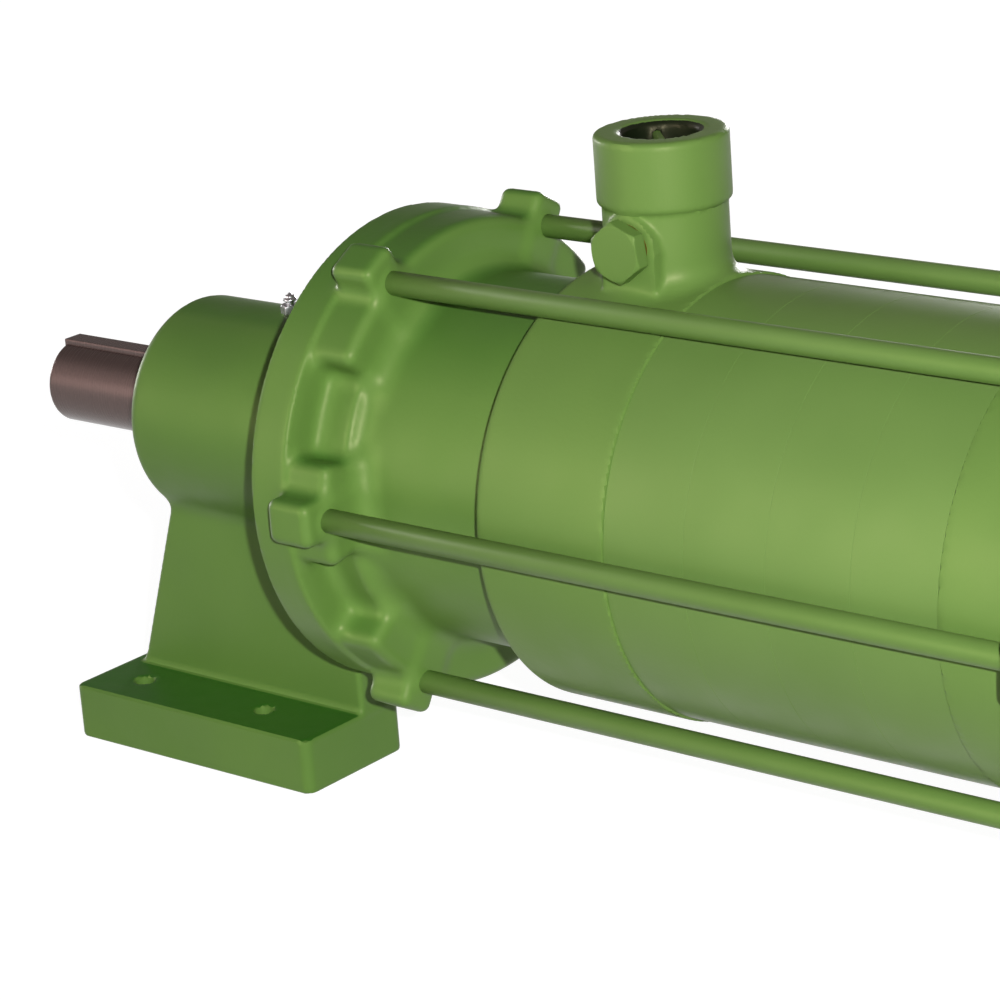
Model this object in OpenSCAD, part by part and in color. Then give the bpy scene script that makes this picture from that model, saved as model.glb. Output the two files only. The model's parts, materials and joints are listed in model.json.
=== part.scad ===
// Bare shaft multistage pump, in millimetres, standing on Z = 0.
// The pump axis runs along X. The drive end is at low X, the suction end at high X.
// All stations along the axis are counted from the drive face of the tie flange.

/* [Axis and stations] */
// height of the shaft axis above the floor
axis_height = 145; // [130:180]
// free length of the keyed shaft end
shaft_end_length = 80; // [60:110]
// length of the bearing housing from its end face to the tie flange
housing_length = 126; // [110:150]
// shaft shoulder in front of the housing end face
shoulder_stick_out = 2; // [1:6]
// tie flange and seal casing length, from its drive face to the first barrel seam
seal_casing_length = 110; // [90:130]
// length of the discharge casing barrel
discharge_length = 63.5; // [55:80]
// pitch of one pump stage
stage_pitch = 37.8; // [34:44]
// length of the suction casing barrel up to its lug flange
suction_barrel_length = 39.7; // [30:50]
// length of the suction bowl behind the lug flange
suction_bowl_length = 66; // [60:90]

/* [Tie rods] */
// pitch circle radius of the six tie rods
rod_pitch_r = 100; // [95:110]
// tie rod radius
rod_r = 5; // [4:6]
// length of rod screwed into each drive end boss
rod_engagement = 18; // [14:20]
// radial gap around a rod in its boss and lug holes
rod_clearance = 0.3; // [0.1:0.1:0.5]
// nut width over flats
nut_flats = 17; // [16:18]
// nut thickness
nut_height = 8; // [6:10]
// washer outer radius
washer_r = 10; // [9:11]
// washer thickness
washer_thick = 2; // [1:3]
// rod length left past the nut
rod_stick_out = 5; // [2:8]

/* [Tie flange] */
// rim radius
rim_r = 102; // [100:105]
// rim thickness
rim_thick = 19; // [14:22]
// front face of the lobes and bosses
boss_face = 40; // [38:44]
// half width of a rod boss
boss_half = 9.5; // [8:12]
// radius to the outer face of a rod boss
boss_out_r = 113; // [110:116]
// corner radius of a rod boss
boss_round = 4; // [3:6]
// distance of the boss back end from the drive face
boss_start = 18; // [15:18.5]
// body radius behind the rim
body_r = 101; // [98:101.5]
// body radius at the front edge
body_front_r = 100; // [96:101]
// rounding of the front edge of the body
body_round = 4; // [2:6]
// root radius of the four recesses beside the middle bosses
recess_r = 83; // [80.5:88]
// front end of the ring at the root of a recess
recess_face = 35; // [30:37]
// first side of the upper recess, in degrees from the top
recess_from = 53; // [48:58]
// second side of the upper recess, in degrees from the top
recess_to = 77; // [72:80]
// neck radius between the lobes and the barrel
neck_r = 78; // [74:84]
// fillet at the root of the neck
neck_fillet = 5; // [3:8]
// bore of the seal chamber
seal_chamber_r = 34; // [32:38]
// pocket outer radius on the barrel side
pocket_r = 70; // [66:72]
// pocket inner radius
pocket_inner_r = 42; // [40:46]
// depth of the pocket
pocket_depth = 60; // [50:64]
// pocket radius left at the spigot of the discharge casing
spigot_thick = 6; // [4:8]

/* [Bearing bracket] */
// bearing housing outer radius
housing_r = 48.8; // [46:54]
// rounding of the housing end
housing_round = 6; // [3:8]
// bracket flange radius
bracket_flange_r = 86; // [83:88]
// bracket flange thickness
bracket_flange_thick = 8; // [6:12]
// width of the groove between bracket flange and tie flange
groove_width = 4.5; // [3:6]
// radius at the bottom of that groove
groove_r = 82; // [78:84]
// radius of the open space in front of the seal
lantern_r = 36; // [30:40]
// pitch radius of the bracket screws
bracket_screw_pitch_r = 68; // [64:72]
// bracket screw radius
bracket_screw_r = 5; // [4:6]
// clearance of the screws in the bracket flange
screw_clearance = 0.5; // [0.3:0.1:1]

/* [Drive end foot] */
// low X end of the foot plate
foot_start = -159; // [-165:-150]
// high X end of the foot plate
foot_end = -17; // [-30:-14]
// front edge of the foot plate
foot_front = -67; // [-75:-60]
// rear edge of the foot plate
foot_rear = -5; // [-10:0]
// thickness of the foot plates
foot_thick = 25; // [18:30]
// front face of the web
web_front = -30; // [-34:-26]
// wall thickness of the web
web_wall = 12; // [9:16]
// web start at the housing
web_start_top = -123; // [-126:-116]
// web start at the foot plate
web_start_base = -149; // [-155:-140]
// foot bolt hole radius
foot_hole_r = 4.5; // [4:6]
// first front bolt hole
foot_hole_1 = -134; // [-140:-128]
// second front bolt hole
foot_hole_2 = -60; // [-70:-50]
// distance of the front bolt holes from the axis plane
foot_hole_y = 47; // [44:54]
// centre of the rear rib and tongue
rear_rib_x = -85; // [-95:-75]
// half width of the rear tongue
tongue_half = 18; // [14:20]
// rear end of the tongue
tongue_end = 45; // [40:48]
// rear bolt hole distance from the axis plane
tongue_hole_y = 31; // [28:34]
// how far the rear rib reaches behind the axis plane at the foot
rear_rib_reach = 16; // [12:18]
// rear rib thickness
rear_rib = 12; // [8:16]

/* [Shaft and bearings] */
// coupling end radius
shaft_end_r = 19; // [16:20]
// key width
key_width = 10; // [8:12]
// key height
key_height = 6.6; // [6:8]
// key length
key_length = 78; // [60:80]
// depth of the keyway
keyway_depth = 5; // [4:6]
// bearing seat radius
bearing_bore_r = 20; // [17.5:22.5]
// bearing outer radius
bearing_r = 40; // [36:42]
// bearing width
bearing_width = 18; // [16:20]
// distance of the bearing from the housing end
bearing_set_back = 13; // [12:16]
// number of balls
ball_count = 9; // [7:10]
// ball radius
ball_r = 6; // [5:6.5]
// running clearance of balls, seals and bushes
running_gap = 0.06; // [0.03:0.01:0.1]
// shaft shoulder radius behind the bearing
shoulder_r = 23; // [21:26]
// shaft radius between bearing and seal
mid_shaft_r = 18; // [16:20]
// shaft radius at the mechanical seal
seal_shaft_r = 16; // [15:18]
// shaft radius in the pump stages
pump_shaft_r = 14; // [12:15]
// shaft radius at the plain bearing
rear_journal_r = 12; // [10:13]
// length of the rear journal
rear_journal_length = 28; // [20:32]
// seat gap of parts fixed on the shaft or in a bore
seat_gap = 0.02; // [0.01:0.01:0.05]

/* [Drive end cover] */
// cover thickness
cover_thick = 9; // [7:12]
// retaining ring thickness
circlip_thick = 2; // [1.5:0.5:2.5]
// retaining ring groove depth
circlip_depth = 1.5; // [1:0.5:2]
// lip seal outer radius
lip_seal_r = 27.5; // [25:30]
// lip of the cover that holds the seal
cover_lip = 1.2; // [1:0.1:2]

/* [Mechanical seal] */
// start of the seal seat
seat_start = 22; // [20:26]
// seal seat thickness
seat_thick = 10; // [8:12]
// seal seat outer radius
seat_r = 26; // [24:28]
// rotating ring thickness
face_ring_thick = 8; // [6:10]
// rotating ring outer radius
face_ring_r = 24; // [22:25]
// length of the seal spring
seal_spring_length = 20; // [16:24]
// spring wire radius
spring_wire_r = 1.4; // [1:0.1:1.6]
// seal drive collar length
seal_collar_length = 10; // [8:12]

/* [Ports] */
// distance of the discharge port from the first seam
port_offset = 33.7; // [30:38]
// height of the port mouth above the axis
port_height = 148.3; // [140:155]
// height of the threaded collars
collar_height = 28.6; // [24:34]
// outer radius of the discharge collar
collar_r = 27; // [25:30]
// chamfer of the collars
collar_chamfer = 1.5; // [0.5:0.5:3]
// radius of the neck under the discharge collar
port_neck_r = 25.2; // [23:27]
// bore radius of the discharge port
port_bore_r = 15.4; // [14:17]
// thickness of the flow splitter inside the discharge port
splitter_thick = 3.5; // [3:5]
// depth of the splitter below the mouth
splitter_depth = 4; // [2:8]
// plug boss radius
plug_boss_r = 13.5; // [13:15]
// depth of the plug axis below the mouth of its port
plug_below_mouth = 42.5; // [42:45]
// distance of the plug boss face from the port axis
plug_boss_out = 26.5; // [26:29]
// plug width over flats
plug_flats = 22; // [20:22.5]
// plug head thickness
plug_head = 6.5; // [6:9]
// plug thread radius
plug_thread_r = 8; // [6:9]
// gasket thickness
gasket_thick = 1.5; // [1:0.5:2]
// outer radius of the suction collar
suction_collar_r = 33; // [30:36]
// bore radius of the suction port
suction_bore_r = 22.5; // [20:25]
// distance of the suction port from the lug flange rear face
suction_port_offset = 35; // [34:40]

/* [Barrel and stages] */
// outer radius of the discharge and suction barrels
casing_r = 91; // [88:93]
// outer radius of the stage casings
stage_r = 90; // [87:92]
// chamfer at the casing seams
seam_chamfer = 0.4; // [0.2:0.1:1.5]
// bore radius of the casings
casing_bore_r = 81; // [78:83]
// diaphragm thickness
diaphragm_thick = 4; // [3:5]
// wear ring outer radius
wear_ring_r = 33; // [31:36]
// gap between impeller eye and wear ring
wear_gap = 0.3; // [0.2:0.05:0.4]
// impeller eye ring outer radius
eye_r = 30; // [28:31]
// impeller outer radius
impeller_r = 64; // [58:66]
// impeller eye opening radius
eye_bore_r = 27; // [25:28]
// impeller hub radius
hub_r = 20; // [18:22]
// shroud thickness
shroud_thick = 2.5; // [2:0.5:3]
// impeller passage width
passage_width = 8.5; // [7:0.5:10]
// number of impeller blades
blade_count = 6; // [5:8]
// blade thickness
blade_thick = 2.4; // [2:0.2:3]
// angle a blade wraps around
blade_wrap = 95; // [70:120]
// number of diffuser vanes
vane_count = 8; // [7:10]
// diffuser vane thickness
vane_thick = 3; // [2.4:0.2:4]
// diffuser plate radius
diffuser_plate_r = 72; // [68:76]
// diffuser depth
diffuser_depth = 14; // [12:16]
// sleeve outer radius
sleeve_r = 18; // [17:19]
// impeller key width
impeller_key = 5; // [4:6]
// o-ring cord radius
cord_r = 1.25; // [1:0.05:1.5]
// o-ring pitch radius
cord_pitch_r = 85.5; // [84:87]

/* [Suction casing] */
// lug flange thickness
lug_thick = 22; // [16:26]
// radius of the lug flange between the bosses
lug_body_r = 97; // [94:100]
// half width of a lug boss
lug_half = 12; // [10:14]
// rounding of the edge of the lug flange
lug_round = 7; // [4:10]
// radius of the scallops between the lugs
scallop_r = 20; // [16:24]
// pitch radius of the scallops
scallop_pitch_r = 110; // [106:114]
// outer radius of the suction bowl
bowl_r = 76; // [72:80]
// wall of the suction bowl
bowl_wall = 9; // [7:12]
// rear cover radius
rear_cover_r = 64; // [60:70]
// rear cover thickness
rear_cover_thick = 12; // [10:16]
// length of the cap over the rear bearing
rear_cap_length = 26; // [22:34]
// radius of the cap
rear_cap_r = 32; // [28:36]
// bush outer radius
bush_r = 18; // [16:20]
// pitch radius of the rear cover screws
rear_screw_pitch_r = 52; // [48:56]
// rear cover screw radius
rear_screw_r = 4; // [3:5]
// half length of the rear foot plate along the axis
rear_foot_half_x = 32; // [28:36]
// half width of the rear foot plate
rear_foot_half_y = 70; // [60:80]
// half spacing of the rear foot holes across the axis
rear_hole_y = 56; // [50:64]
// half spacing of the rear foot holes along the axis
rear_hole_x = 18; // [14:24]
// rear foot plate thickness
rear_foot_thick = 18; // [14:24]
// half width of the rear pedestal
rear_web_half_y = 32; // [28:34]

/* [Hidden] */
$fn = 96;
rod_count = 6;
shaft_tip = -housing_length - shoulder_stick_out - shaft_end_length;
bearing_start = -housing_length + bearing_set_back;
bearing_end = bearing_start + bearing_width;
bracket_face = -groove_width;
bracket_back = -groove_width - bracket_flange_thick;
seam_1 = seal_casing_length;
seam_2 = seam_1 + discharge_length;
seam_3 = seam_2 + 4 * stage_pitch;
port_x = seam_1 + port_offset;
plug_height = port_height - plug_below_mouth;
circlip_start = bearing_start - cover_thick - circlip_thick;
lug_face = seam_3 + suction_barrel_length;
lug_back = lug_face + lug_thick;
bowl_end = lug_back + suction_bowl_length;
suction_x = lug_back + suction_port_offset;
rear_end = bowl_end + rear_cover_thick + rear_cap_length;
rod_end = lug_back + washer_thick + nut_height + rod_stick_out;
rod_start = boss_face - rod_engagement;
mid_x = (shaft_tip + rear_end) / 2;
seal_shoulder = seam_1 - 6;
pump_shaft_end = bowl_end - 6;
journal_end = pump_shaft_end + rear_journal_length;
nut_start = pump_shaft_end - 16;
ball_pitch_r = (bearing_bore_r + bearing_r) / 2;
coil_step = (seal_spring_length - 2 * spring_wire_r - 1.2) / 4;
eye_start = stage_pitch - diaphragm_thick;
shroud_front = eye_start - shroud_thick - 3.3;
hub_start = diffuser_depth;
hub_end = eye_start - 0.8;
seal_back = seat_start + seat_thick;
ring_back = seal_back + face_ring_thick;
spring_back = ring_back + seal_spring_length;
green = [0.42, 0.55, 0.30];
steel = [0.62, 0.62, 0.64];
iron = [0.45, 0.46, 0.46];
bronze = [0.70, 0.52, 0.28];
rubber_black = [0.08, 0.08, 0.09];

// puts pump stations into the row frame
module place() {
  translate([-mid_x, 0, axis_height])
    children();
}

// solid of revolution about the pump axis, points as radius and station
module turned(points) {
  rotate([0, 90, 0])
    rotate_extrude()
      polygon(points);
}

// plain cylinder along the pump axis
module rod_x(start, length, r) {
  translate([start, 0, 0])
    rotate([0, 90, 0])
      cylinder(h = length, r = r);
}

// hexagon prism along the pump axis
module hex_x(start, length, flats) {
  translate([start, 0, 0])
    rotate([0, 90, 0])
      cylinder(h = length, r = flats / sqrt(3), $fn = 6);
}

// tube along the pump axis with chamfered outer edges
module tube_x(start, length, ro, ri, c) {
  turned([[ri, start], [ro - c, start], [ro, start + c],
    [ro, start + length - c], [ro - c, start + length], [ri, start + length]]);
}

// copies children to every tie rod, the first one 30 degrees off the top
module at_rods() {
  for (k = [0 : rod_count - 1])
    rotate([30 + 60 * k, 0, 0])
      translate([0, 0, rod_pitch_r])
        children();
}

// rounded block around one rod, pointing up, from the station start to its front face
module rod_boss(start, length, half) {
  r = boss_round;
  for (s = [-1, 1])
    translate([0, s * (half - r), boss_out_r - r])
      rod_x(start, length, r);
  translate([start, -half, 70])
    cube([length, 2 * half, boss_out_r - r - 70]);
  translate([start, -half + r, 70])
    cube([length, 2 * (half - r), boss_out_r - 70]);
}

// turned ring with a rounded edge on its front side
module round_ring(start, length, r_back, r_front, inner, r) {
  end = start + length;
  rotate([0, 90, 0])
    rotate_extrude() {
      polygon([[inner, start], [r_back, start], [r_front, end - r], [inner, end - r]]);
      translate([inner, end - r - 1])
        square([r_front - inner - r, r + 1]);
      intersection() {
        translate([r_front - r, end - r])
          circle(r = r, $fn = 64);
        translate([0, end - r - 1])
          square([r_front, r + 1]);
      }
    }
}

// lug flange of the suction casing: a turned ring, scalloped between the rods
module lug_ring() {
  difference() {
    round_ring(lug_face, lug_thick, lug_body_r, lug_body_r, 40, lug_round);
    for (k = [0 : rod_count - 1])
      rotate([60 * k, 0, 0])
        translate([0, 0, scallop_pitch_r])
          rod_x(lug_face - 1, lug_thick + 40, scallop_r);
  }
}

// what a recess takes away between two angles, down to its ring and to the neck
module recess_cut(first, last) {
  difference() {
    translate([rim_thick, 0, 0])
      rotate([90, 0, 90])
        linear_extrude(boss_face)
          polygon([[0, 0], [-160 * sin(first), 160 * cos(first)], [-160 * sin(last), 160 * cos(last)]]);
    rod_x(0, recess_face, recess_r);
    rod_x(0, seam_1, neck_r);
  }
}

// body of the tie flange: disc, fillet at the neck and four recesses beside the middle bosses
module tie_body() {
  difference() {
    union() {
      round_ring(rim_thick - 1, boss_face - rim_thick + 1, body_r, body_front_r, 20, body_round);
      difference() {
        rod_x(boss_face - 1, neck_fillet + 1, neck_r + neck_fillet);
        translate([boss_face + neck_fillet, 0, 0])
          rotate([0, 90, 0])
            rotate_extrude()
              translate([neck_r + neck_fillet, 0])
                circle(r = neck_fillet, $fn = 64);
      }
    }
    for (side = [-1, 1])
      for (low = [0, 1])
        recess_cut(side * (low ? 180 - recess_to : recess_from),
          side * (low ? 180 - recess_from : recess_to));
  }
}

// circles for the screws of the bracket flange
module at_bracket_screws() {
  for (k = [0 : 3])
    rotate([45 + 90 * k, 0, 0])
      translate([0, 0, bracket_screw_pitch_r])
        children();
}

// places of the rear cover screws
module at_rear_screws() {
  for (k = [0 : 5])
    rotate([30 + 60 * k, 0, 0])
      translate([0, 0, rear_screw_pitch_r])
        children();
}

// bearing housing, flange, web and foot in one casting
module bearing_bracket() {
  color(green)
    place()
      difference() {
        union() {
          rod_x(-housing_length + housing_round, housing_length - housing_round - groove_width, housing_r);
          housing_nose();
          tube_x(bracket_back, bracket_flange_thick, bracket_flange_r, 20, 1);
          rod_x(-groove_width, groove_width, groove_r);
          bracket_web();
          bracket_foot();
        }
        bracket_bores();
      }
}

// rounded free end of the bearing housing
module housing_nose() {
  rotate([0, 90, 0])
    rotate_extrude() {
      translate([0, -housing_length])
        square([housing_r - housing_round, housing_round + 1]);
      translate([housing_r - housing_round, -housing_length + housing_round])
        circle(r = housing_round, $fn = 64);
    }
}

// web between housing and foot, an open box when seen from behind
module bracket_web() {
  foot_top = -axis_height + foot_thick;
  difference() {
    union() {
      translate([0, 0, 0])
        rotate([90, 0, 0])
          translate([0, 0, 2])
            linear_extrude(height = -web_front - 2)
              polygon([[web_start_top, 0], [web_start_top, -housing_r * 0.8], [web_start_base, foot_top + 6],
                [web_start_base - 4, foot_top - 1], [foot_end, foot_top - 1], [foot_end, 0]]);
      translate([foot_end - 1, web_front, -groove_r + 6])
        cube([-foot_end - groove_width - 4, -web_front - 2, groove_r - 6]);
    }
    translate([0, 0, 0])
      rotate([90, 0, 0])
        linear_extrude(height = -web_front - web_wall)
          polygon([[web_start_top + web_wall, -housing_r - 6], [web_start_base + web_wall + 4, foot_top + 8],
            [rear_rib_x - rear_rib / 2, foot_top + 8], [rear_rib_x - rear_rib / 2, -housing_r - 6]]);
    translate([rear_rib_x + rear_rib / 2, web_front + web_wall, foot_top + 8])
      cube([foot_end - web_wall - rear_rib_x - rear_rib / 2, -web_front, -housing_r - 6 - foot_top - 8]);
  }
  translate([rear_rib_x - rear_rib / 2, 0, 0])
    rotate([90, 0, 90])
      linear_extrude(height = rear_rib)
        polygon([[web_front + 2, -housing_r * 0.7], [rear_rib_reach + 4, -housing_r * 0.7],
          [rear_rib_reach, foot_top - 1], [web_front + 2, foot_top - 1]]);
}

// foot plate with the rear tongue
module bracket_foot() {
  translate([foot_start, foot_front, -axis_height])
    cube([foot_end - foot_start, foot_rear - foot_front, foot_thick]);
  translate([rear_rib_x - tongue_half, foot_rear - 2, -axis_height])
    cube([2 * tongue_half, tongue_end - foot_rear + 2, foot_thick]);
}

// all bores of the bracket
module bracket_bores() {
  rod_x(-housing_length - 1, bearing_set_back + bearing_width + 1, bearing_r + seat_gap);
  rod_x(circlip_start - 0.05, circlip_thick + 0.1, bearing_r + circlip_depth + 0.1);
  rod_x(bearing_end - 0.01, 14, bearing_r - 5);
  rod_x(bearing_end, 45, mid_shaft_r + 6);
  rod_x(bearing_end + 20, 14, lantern_r - 4);
  rod_x(bearing_end + 40, 30, mid_shaft_r + 0.6);
  rod_x(bracket_back - 14, 60, lantern_r);
  at_bracket_screws()
    rod_x(bracket_back - 1, bracket_flange_thick + groove_width + 2, bracket_screw_r + screw_clearance);
  for (x = [foot_hole_1, foot_hole_2])
    translate([x, -foot_hole_y, -axis_height - 1])
      cylinder(h = foot_thick + 2, r = foot_hole_r);
  translate([rear_rib_x, tongue_hole_y, -axis_height - 1])
    cylinder(h = foot_thick + 2, r = foot_hole_r);
  translate([nipple_x(), 0, mid_shaft_r])
    cylinder(h = housing_r, r = 3 + seat_gap, $fn = 48);
  translate([nipple_x(), 0, housing_r - 0.6])
    cylinder(h = 10, r = 6, $fn = 48);
}

// station of the grease nipple, over the grease space behind the bearing
function nipple_x() = -66;

// grease nipple with hexagon, neck and ball head
module grease_nipple() {
  color(steel)
    place()
      translate([nipple_x(), 0, 0]) {
        translate([0, 0, housing_r - 6])
          difference() {
            cylinder(h = 6, r = 3, $fn = 48);
            translate([0, 0, -1])
              cylinder(h = 8, r = 0.9, $fn = 24);
          }
        translate([0, 0, housing_r - 0.6])
          cylinder(h = 4.6, r = 4.6, $fn = 6);
        translate([0, 0, housing_r + 3.9])
          cylinder(h = 3.2, r = 2.1, $fn = 48);
        translate([0, 0, housing_r + 7])
          rotate_extrude($fn = 48)
            polygon([[0, 0], [2.1, 0], [3.2, 1.6], [3.2, 2.6], [1.6, 4.6], [0, 4.6]]);
      }
}

// cover disc that closes the bearing housing and holds the lip seal
module drive_end_cover() {
  color(green)
    place()
      turned([[lip_seal_r + seat_gap, bearing_start],
        [bearing_r - seat_gap, bearing_start],
        [bearing_r - seat_gap, bearing_start - cover_thick + 1],
        [bearing_r - 1, bearing_start - cover_thick],
        [bearing_bore_r + 2, bearing_start - cover_thick],
        [bearing_bore_r + 2, bearing_start - cover_thick + cover_lip],
        [lip_seal_r + seat_gap, bearing_start - cover_thick + cover_lip]]);
}

// retaining ring in its housing groove, open at the bottom, with two eyes
module cover_circlip() {
  color(steel)
    place()
      difference() {
        union() {
          tube_x(circlip_start, circlip_thick, bearing_r + circlip_depth, bearing_r - 2.5, 0.2);
          for (s = [-1, 1])
            rotate([180 + s * 10, 0, 0])
              translate([0, 0, bearing_r - 5])
                rod_x(circlip_start, circlip_thick, 3.2);
        }
        translate([circlip_start - 1, -4.2, -bearing_r - 4])
          cube([circlip_thick + 2, 8.4, 12]);
        for (s = [-1, 1])
          rotate([180 + s * 10, 0, 0])
            translate([0, 0, bearing_r - 5])
              rod_x(circlip_start - 1, circlip_thick + 2, 1.2);
      }
}

// radial lip seal running on the shaft
module lip_seal() {
  color(rubber_black)
    place()
      turned([[bearing_bore_r + 3, bearing_start], [lip_seal_r, bearing_start],
        [lip_seal_r, bearing_start - cover_thick + cover_lip],
        [bearing_bore_r + 4, bearing_start - cover_thick + cover_lip],
        [bearing_bore_r + running_gap, bearing_start - 5], [bearing_bore_r + 1.6, bearing_start - 3.4],
        [bearing_bore_r + 3, bearing_start - 3.4]]);
}

// outer bearing ring with its raceway
module bearing_outer_ring() {
  color(steel)
    place()
      difference() {
        tube_x(bearing_start, bearing_width, bearing_r, ball_pitch_r + 0.42 * ball_r * 2, 1);
        bearing_raceway();
      }
}

// inner bearing ring with its raceway
module bearing_inner_ring() {
  color(steel)
    place()
      difference() {
        turned([[bearing_bore_r, bearing_start + 1], [bearing_bore_r + 1, bearing_start],
          [ball_pitch_r - 0.42 * ball_r * 2, bearing_start],
          [ball_pitch_r - 0.42 * ball_r * 2, bearing_end], [bearing_bore_r + 1, bearing_end],
          [bearing_bore_r, bearing_end - 1]]);
        bearing_raceway();
      }
}

// ring shaped space the balls roll in
module bearing_raceway() {
  translate([bearing_start + bearing_width / 2, 0, 0])
    rotate([0, 90, 0])
      rotate_extrude()
        translate([ball_pitch_r, 0])
          circle(r = ball_r + running_gap, $fn = 48);
}

// balls held in a cage
module bearing_balls() {
  color(steel)
    place()
      difference() {
        union() {
          tube_x(bearing_start + 4, bearing_width - 8, ball_pitch_r + 2, ball_pitch_r - 2, 0.5);
          for (k = [0 : ball_count - 1])
            rotate([360 / ball_count * k, 0, 0])
              translate([bearing_start + bearing_width / 2, 0, ball_pitch_r])
                sphere(r = ball_r, $fn = 40);
        }
        rod_x(bearing_start - 1, 1, ball_r);
      }
}

// shaft with steps, keyway, key seat for the impellers and end centres
module drive_shaft() {
  color(steel)
    place()
      difference() {
        turned([[0, shaft_tip], [shaft_end_r - 1.5, shaft_tip], [shaft_end_r, shaft_tip + 1.5],
          [shaft_end_r, shaft_tip + shaft_end_length],
          [bearing_bore_r - seat_gap - 0.5, shaft_tip + shaft_end_length],
          [bearing_bore_r - seat_gap, shaft_tip + shaft_end_length + 0.5],
          [bearing_bore_r - seat_gap, bearing_end], [shoulder_r, bearing_end], [shoulder_r, bearing_end + 10],
          [mid_shaft_r, bearing_end + 12], [mid_shaft_r, -22], [seal_shaft_r - seat_gap, -20],
          [seal_shaft_r - seat_gap, seal_shoulder], [pump_shaft_r - seat_gap, seal_shoulder],
          [pump_shaft_r - seat_gap, pump_shaft_end], [rear_journal_r, pump_shaft_end],
          [rear_journal_r, journal_end - 1], [rear_journal_r - 1, journal_end], [0, journal_end]]);
        translate([shaft_tip - 1, -key_width / 2, shaft_end_r - keyway_depth])
          cube([key_length + 1, key_width, 10]);
        translate([seam_2 + 2, -impeller_key / 2, pump_shaft_r - 3])
          cube([seam_3 - seam_2 + 4, impeller_key, 6]);
        translate([shaft_tip, 0, 0])
          rotate([0, 90, 0])
            translate([0, 0, -0.01])
              cylinder(h = 7, r1 = 5, r2 = 1.5);
        rod_x(shaft_tip + 5, 16, 2.5);
      }
}

// parallel key of the coupling end, flush with the shaft tip
module coupling_key() {
  color(steel)
    place()
      translate([shaft_tip + 0.2, -key_width / 2 + seat_gap, shaft_end_r - keyway_depth])
        cube([key_length - 0.4, key_width - 2 * seat_gap, key_height]);
}

// key that drives the impellers
module impeller_drive_key() {
  color(steel)
    place()
      translate([seam_2 + 2.5, -impeller_key / 2 + seat_gap, pump_shaft_r - 3])
        cube([seam_3 - seam_2 + 3, impeller_key - 2 * seat_gap, 5]);
}

// tie flange with six rod bosses, seal chamber and neck
module tie_flange() {
  color(green)
    place()
      difference() {
        union() {
          tube_x(0, rim_thick, rim_r, 20, 1.5);
          tie_body();
          for (k = [0 : rod_count - 1])
            rotate([30 + 60 * k, 0, 0])
              rod_boss(boss_start, boss_face - boss_start, boss_half);
          difference() {
            rod_x(1, seam_1 - 1, neck_r);
            rod_x(0, seam_1 + 2, 20);
          }
        }
        tie_flange_bores();
      }
}

// bores and pockets of the tie flange
module tie_flange_bores() {
  rod_x(-1, 15, lantern_r);
  rod_x(-1, seal_casing_length + 2, mid_shaft_r + 1.2);
  rod_x(seat_start, seat_thick + 1, seat_r + seat_gap);
  rod_x(seal_back, seal_casing_length - seal_back - 12, seal_chamber_r);
  turned([[pocket_inner_r, seam_1 - pocket_depth], [pocket_r, seam_1 - pocket_depth],
    [pocket_r, seam_1 + 1], [pocket_inner_r, seam_1 + 1]]);
  rotate([15, 0, 0])
    translate([seal_back + 12, 0, 0])
      cylinder(h = pocket_inner_r + 4, r = 4, $fn = 48);
  at_rods()
    rod_x(rod_start, rod_engagement + 1, rod_r + rod_clearance);
  at_bracket_screws()
    rod_x(-1, 15, bracket_screw_r + seat_gap);
}

// hexagon screws that join the bracket to the tie flange
module bracket_screws() {
  color(green)
    place()
      at_bracket_screws() {
        rod_x(bracket_back - 0.01, bracket_flange_thick + groove_width + 12, bracket_screw_r);
        hex_x(bracket_back - 7, 7, 17);
      }
}

// stationary seal seat
module seal_seat() {
  color(iron)
    place()
      tube_x(seat_start, seat_thick, seat_r, seal_shaft_r + 1, 0.6);
}

// rotating seal face ring
module seal_face_ring() {
  color(iron)
    place()
      tube_x(seal_back, face_ring_thick, face_ring_r, seal_shaft_r, 0.6);
}

// seal spring as separate coils in line, with the drive collar
module seal_spring_set() {
  color(steel)
    place() {
      for (k = [0 : 4])
        translate([ring_back + spring_wire_r + 0.6 + k * coil_step, 0, 0])
          rotate([0, 90, 0])
            rotate_extrude()
              translate([seal_shaft_r + 3, 0])
                circle(r = spring_wire_r, $fn = 24);
      tube_x(ring_back, seal_spring_length, seal_shaft_r + 2.2, seal_shaft_r, 0.3);
      tube_x(spring_back, seal_collar_length, face_ring_r - 1, seal_shaft_r, 1);
    }
}

// port neck with boss and collar, standing on a barrel of the pump
module port_body(x, r_collar, r_neck) {
  translate([x, 0, 60])
    cylinder(h = port_height - collar_height - 58, r = r_neck);
  translate([x, 0, 0])
    rotate_extrude()
      polygon([[0, port_height - collar_height], [r_collar - collar_chamfer, port_height - collar_height],
        [r_collar, port_height - collar_height + collar_chamfer], [r_collar, port_height - collar_chamfer],
        [r_collar - collar_chamfer, port_height], [0, port_height]]);
  translate([x, 0, plug_height])
    rotate([90, 0, 0])
      cylinder(h = plug_boss_out + r_neck - port_neck_r, r = plug_boss_r);
}

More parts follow.
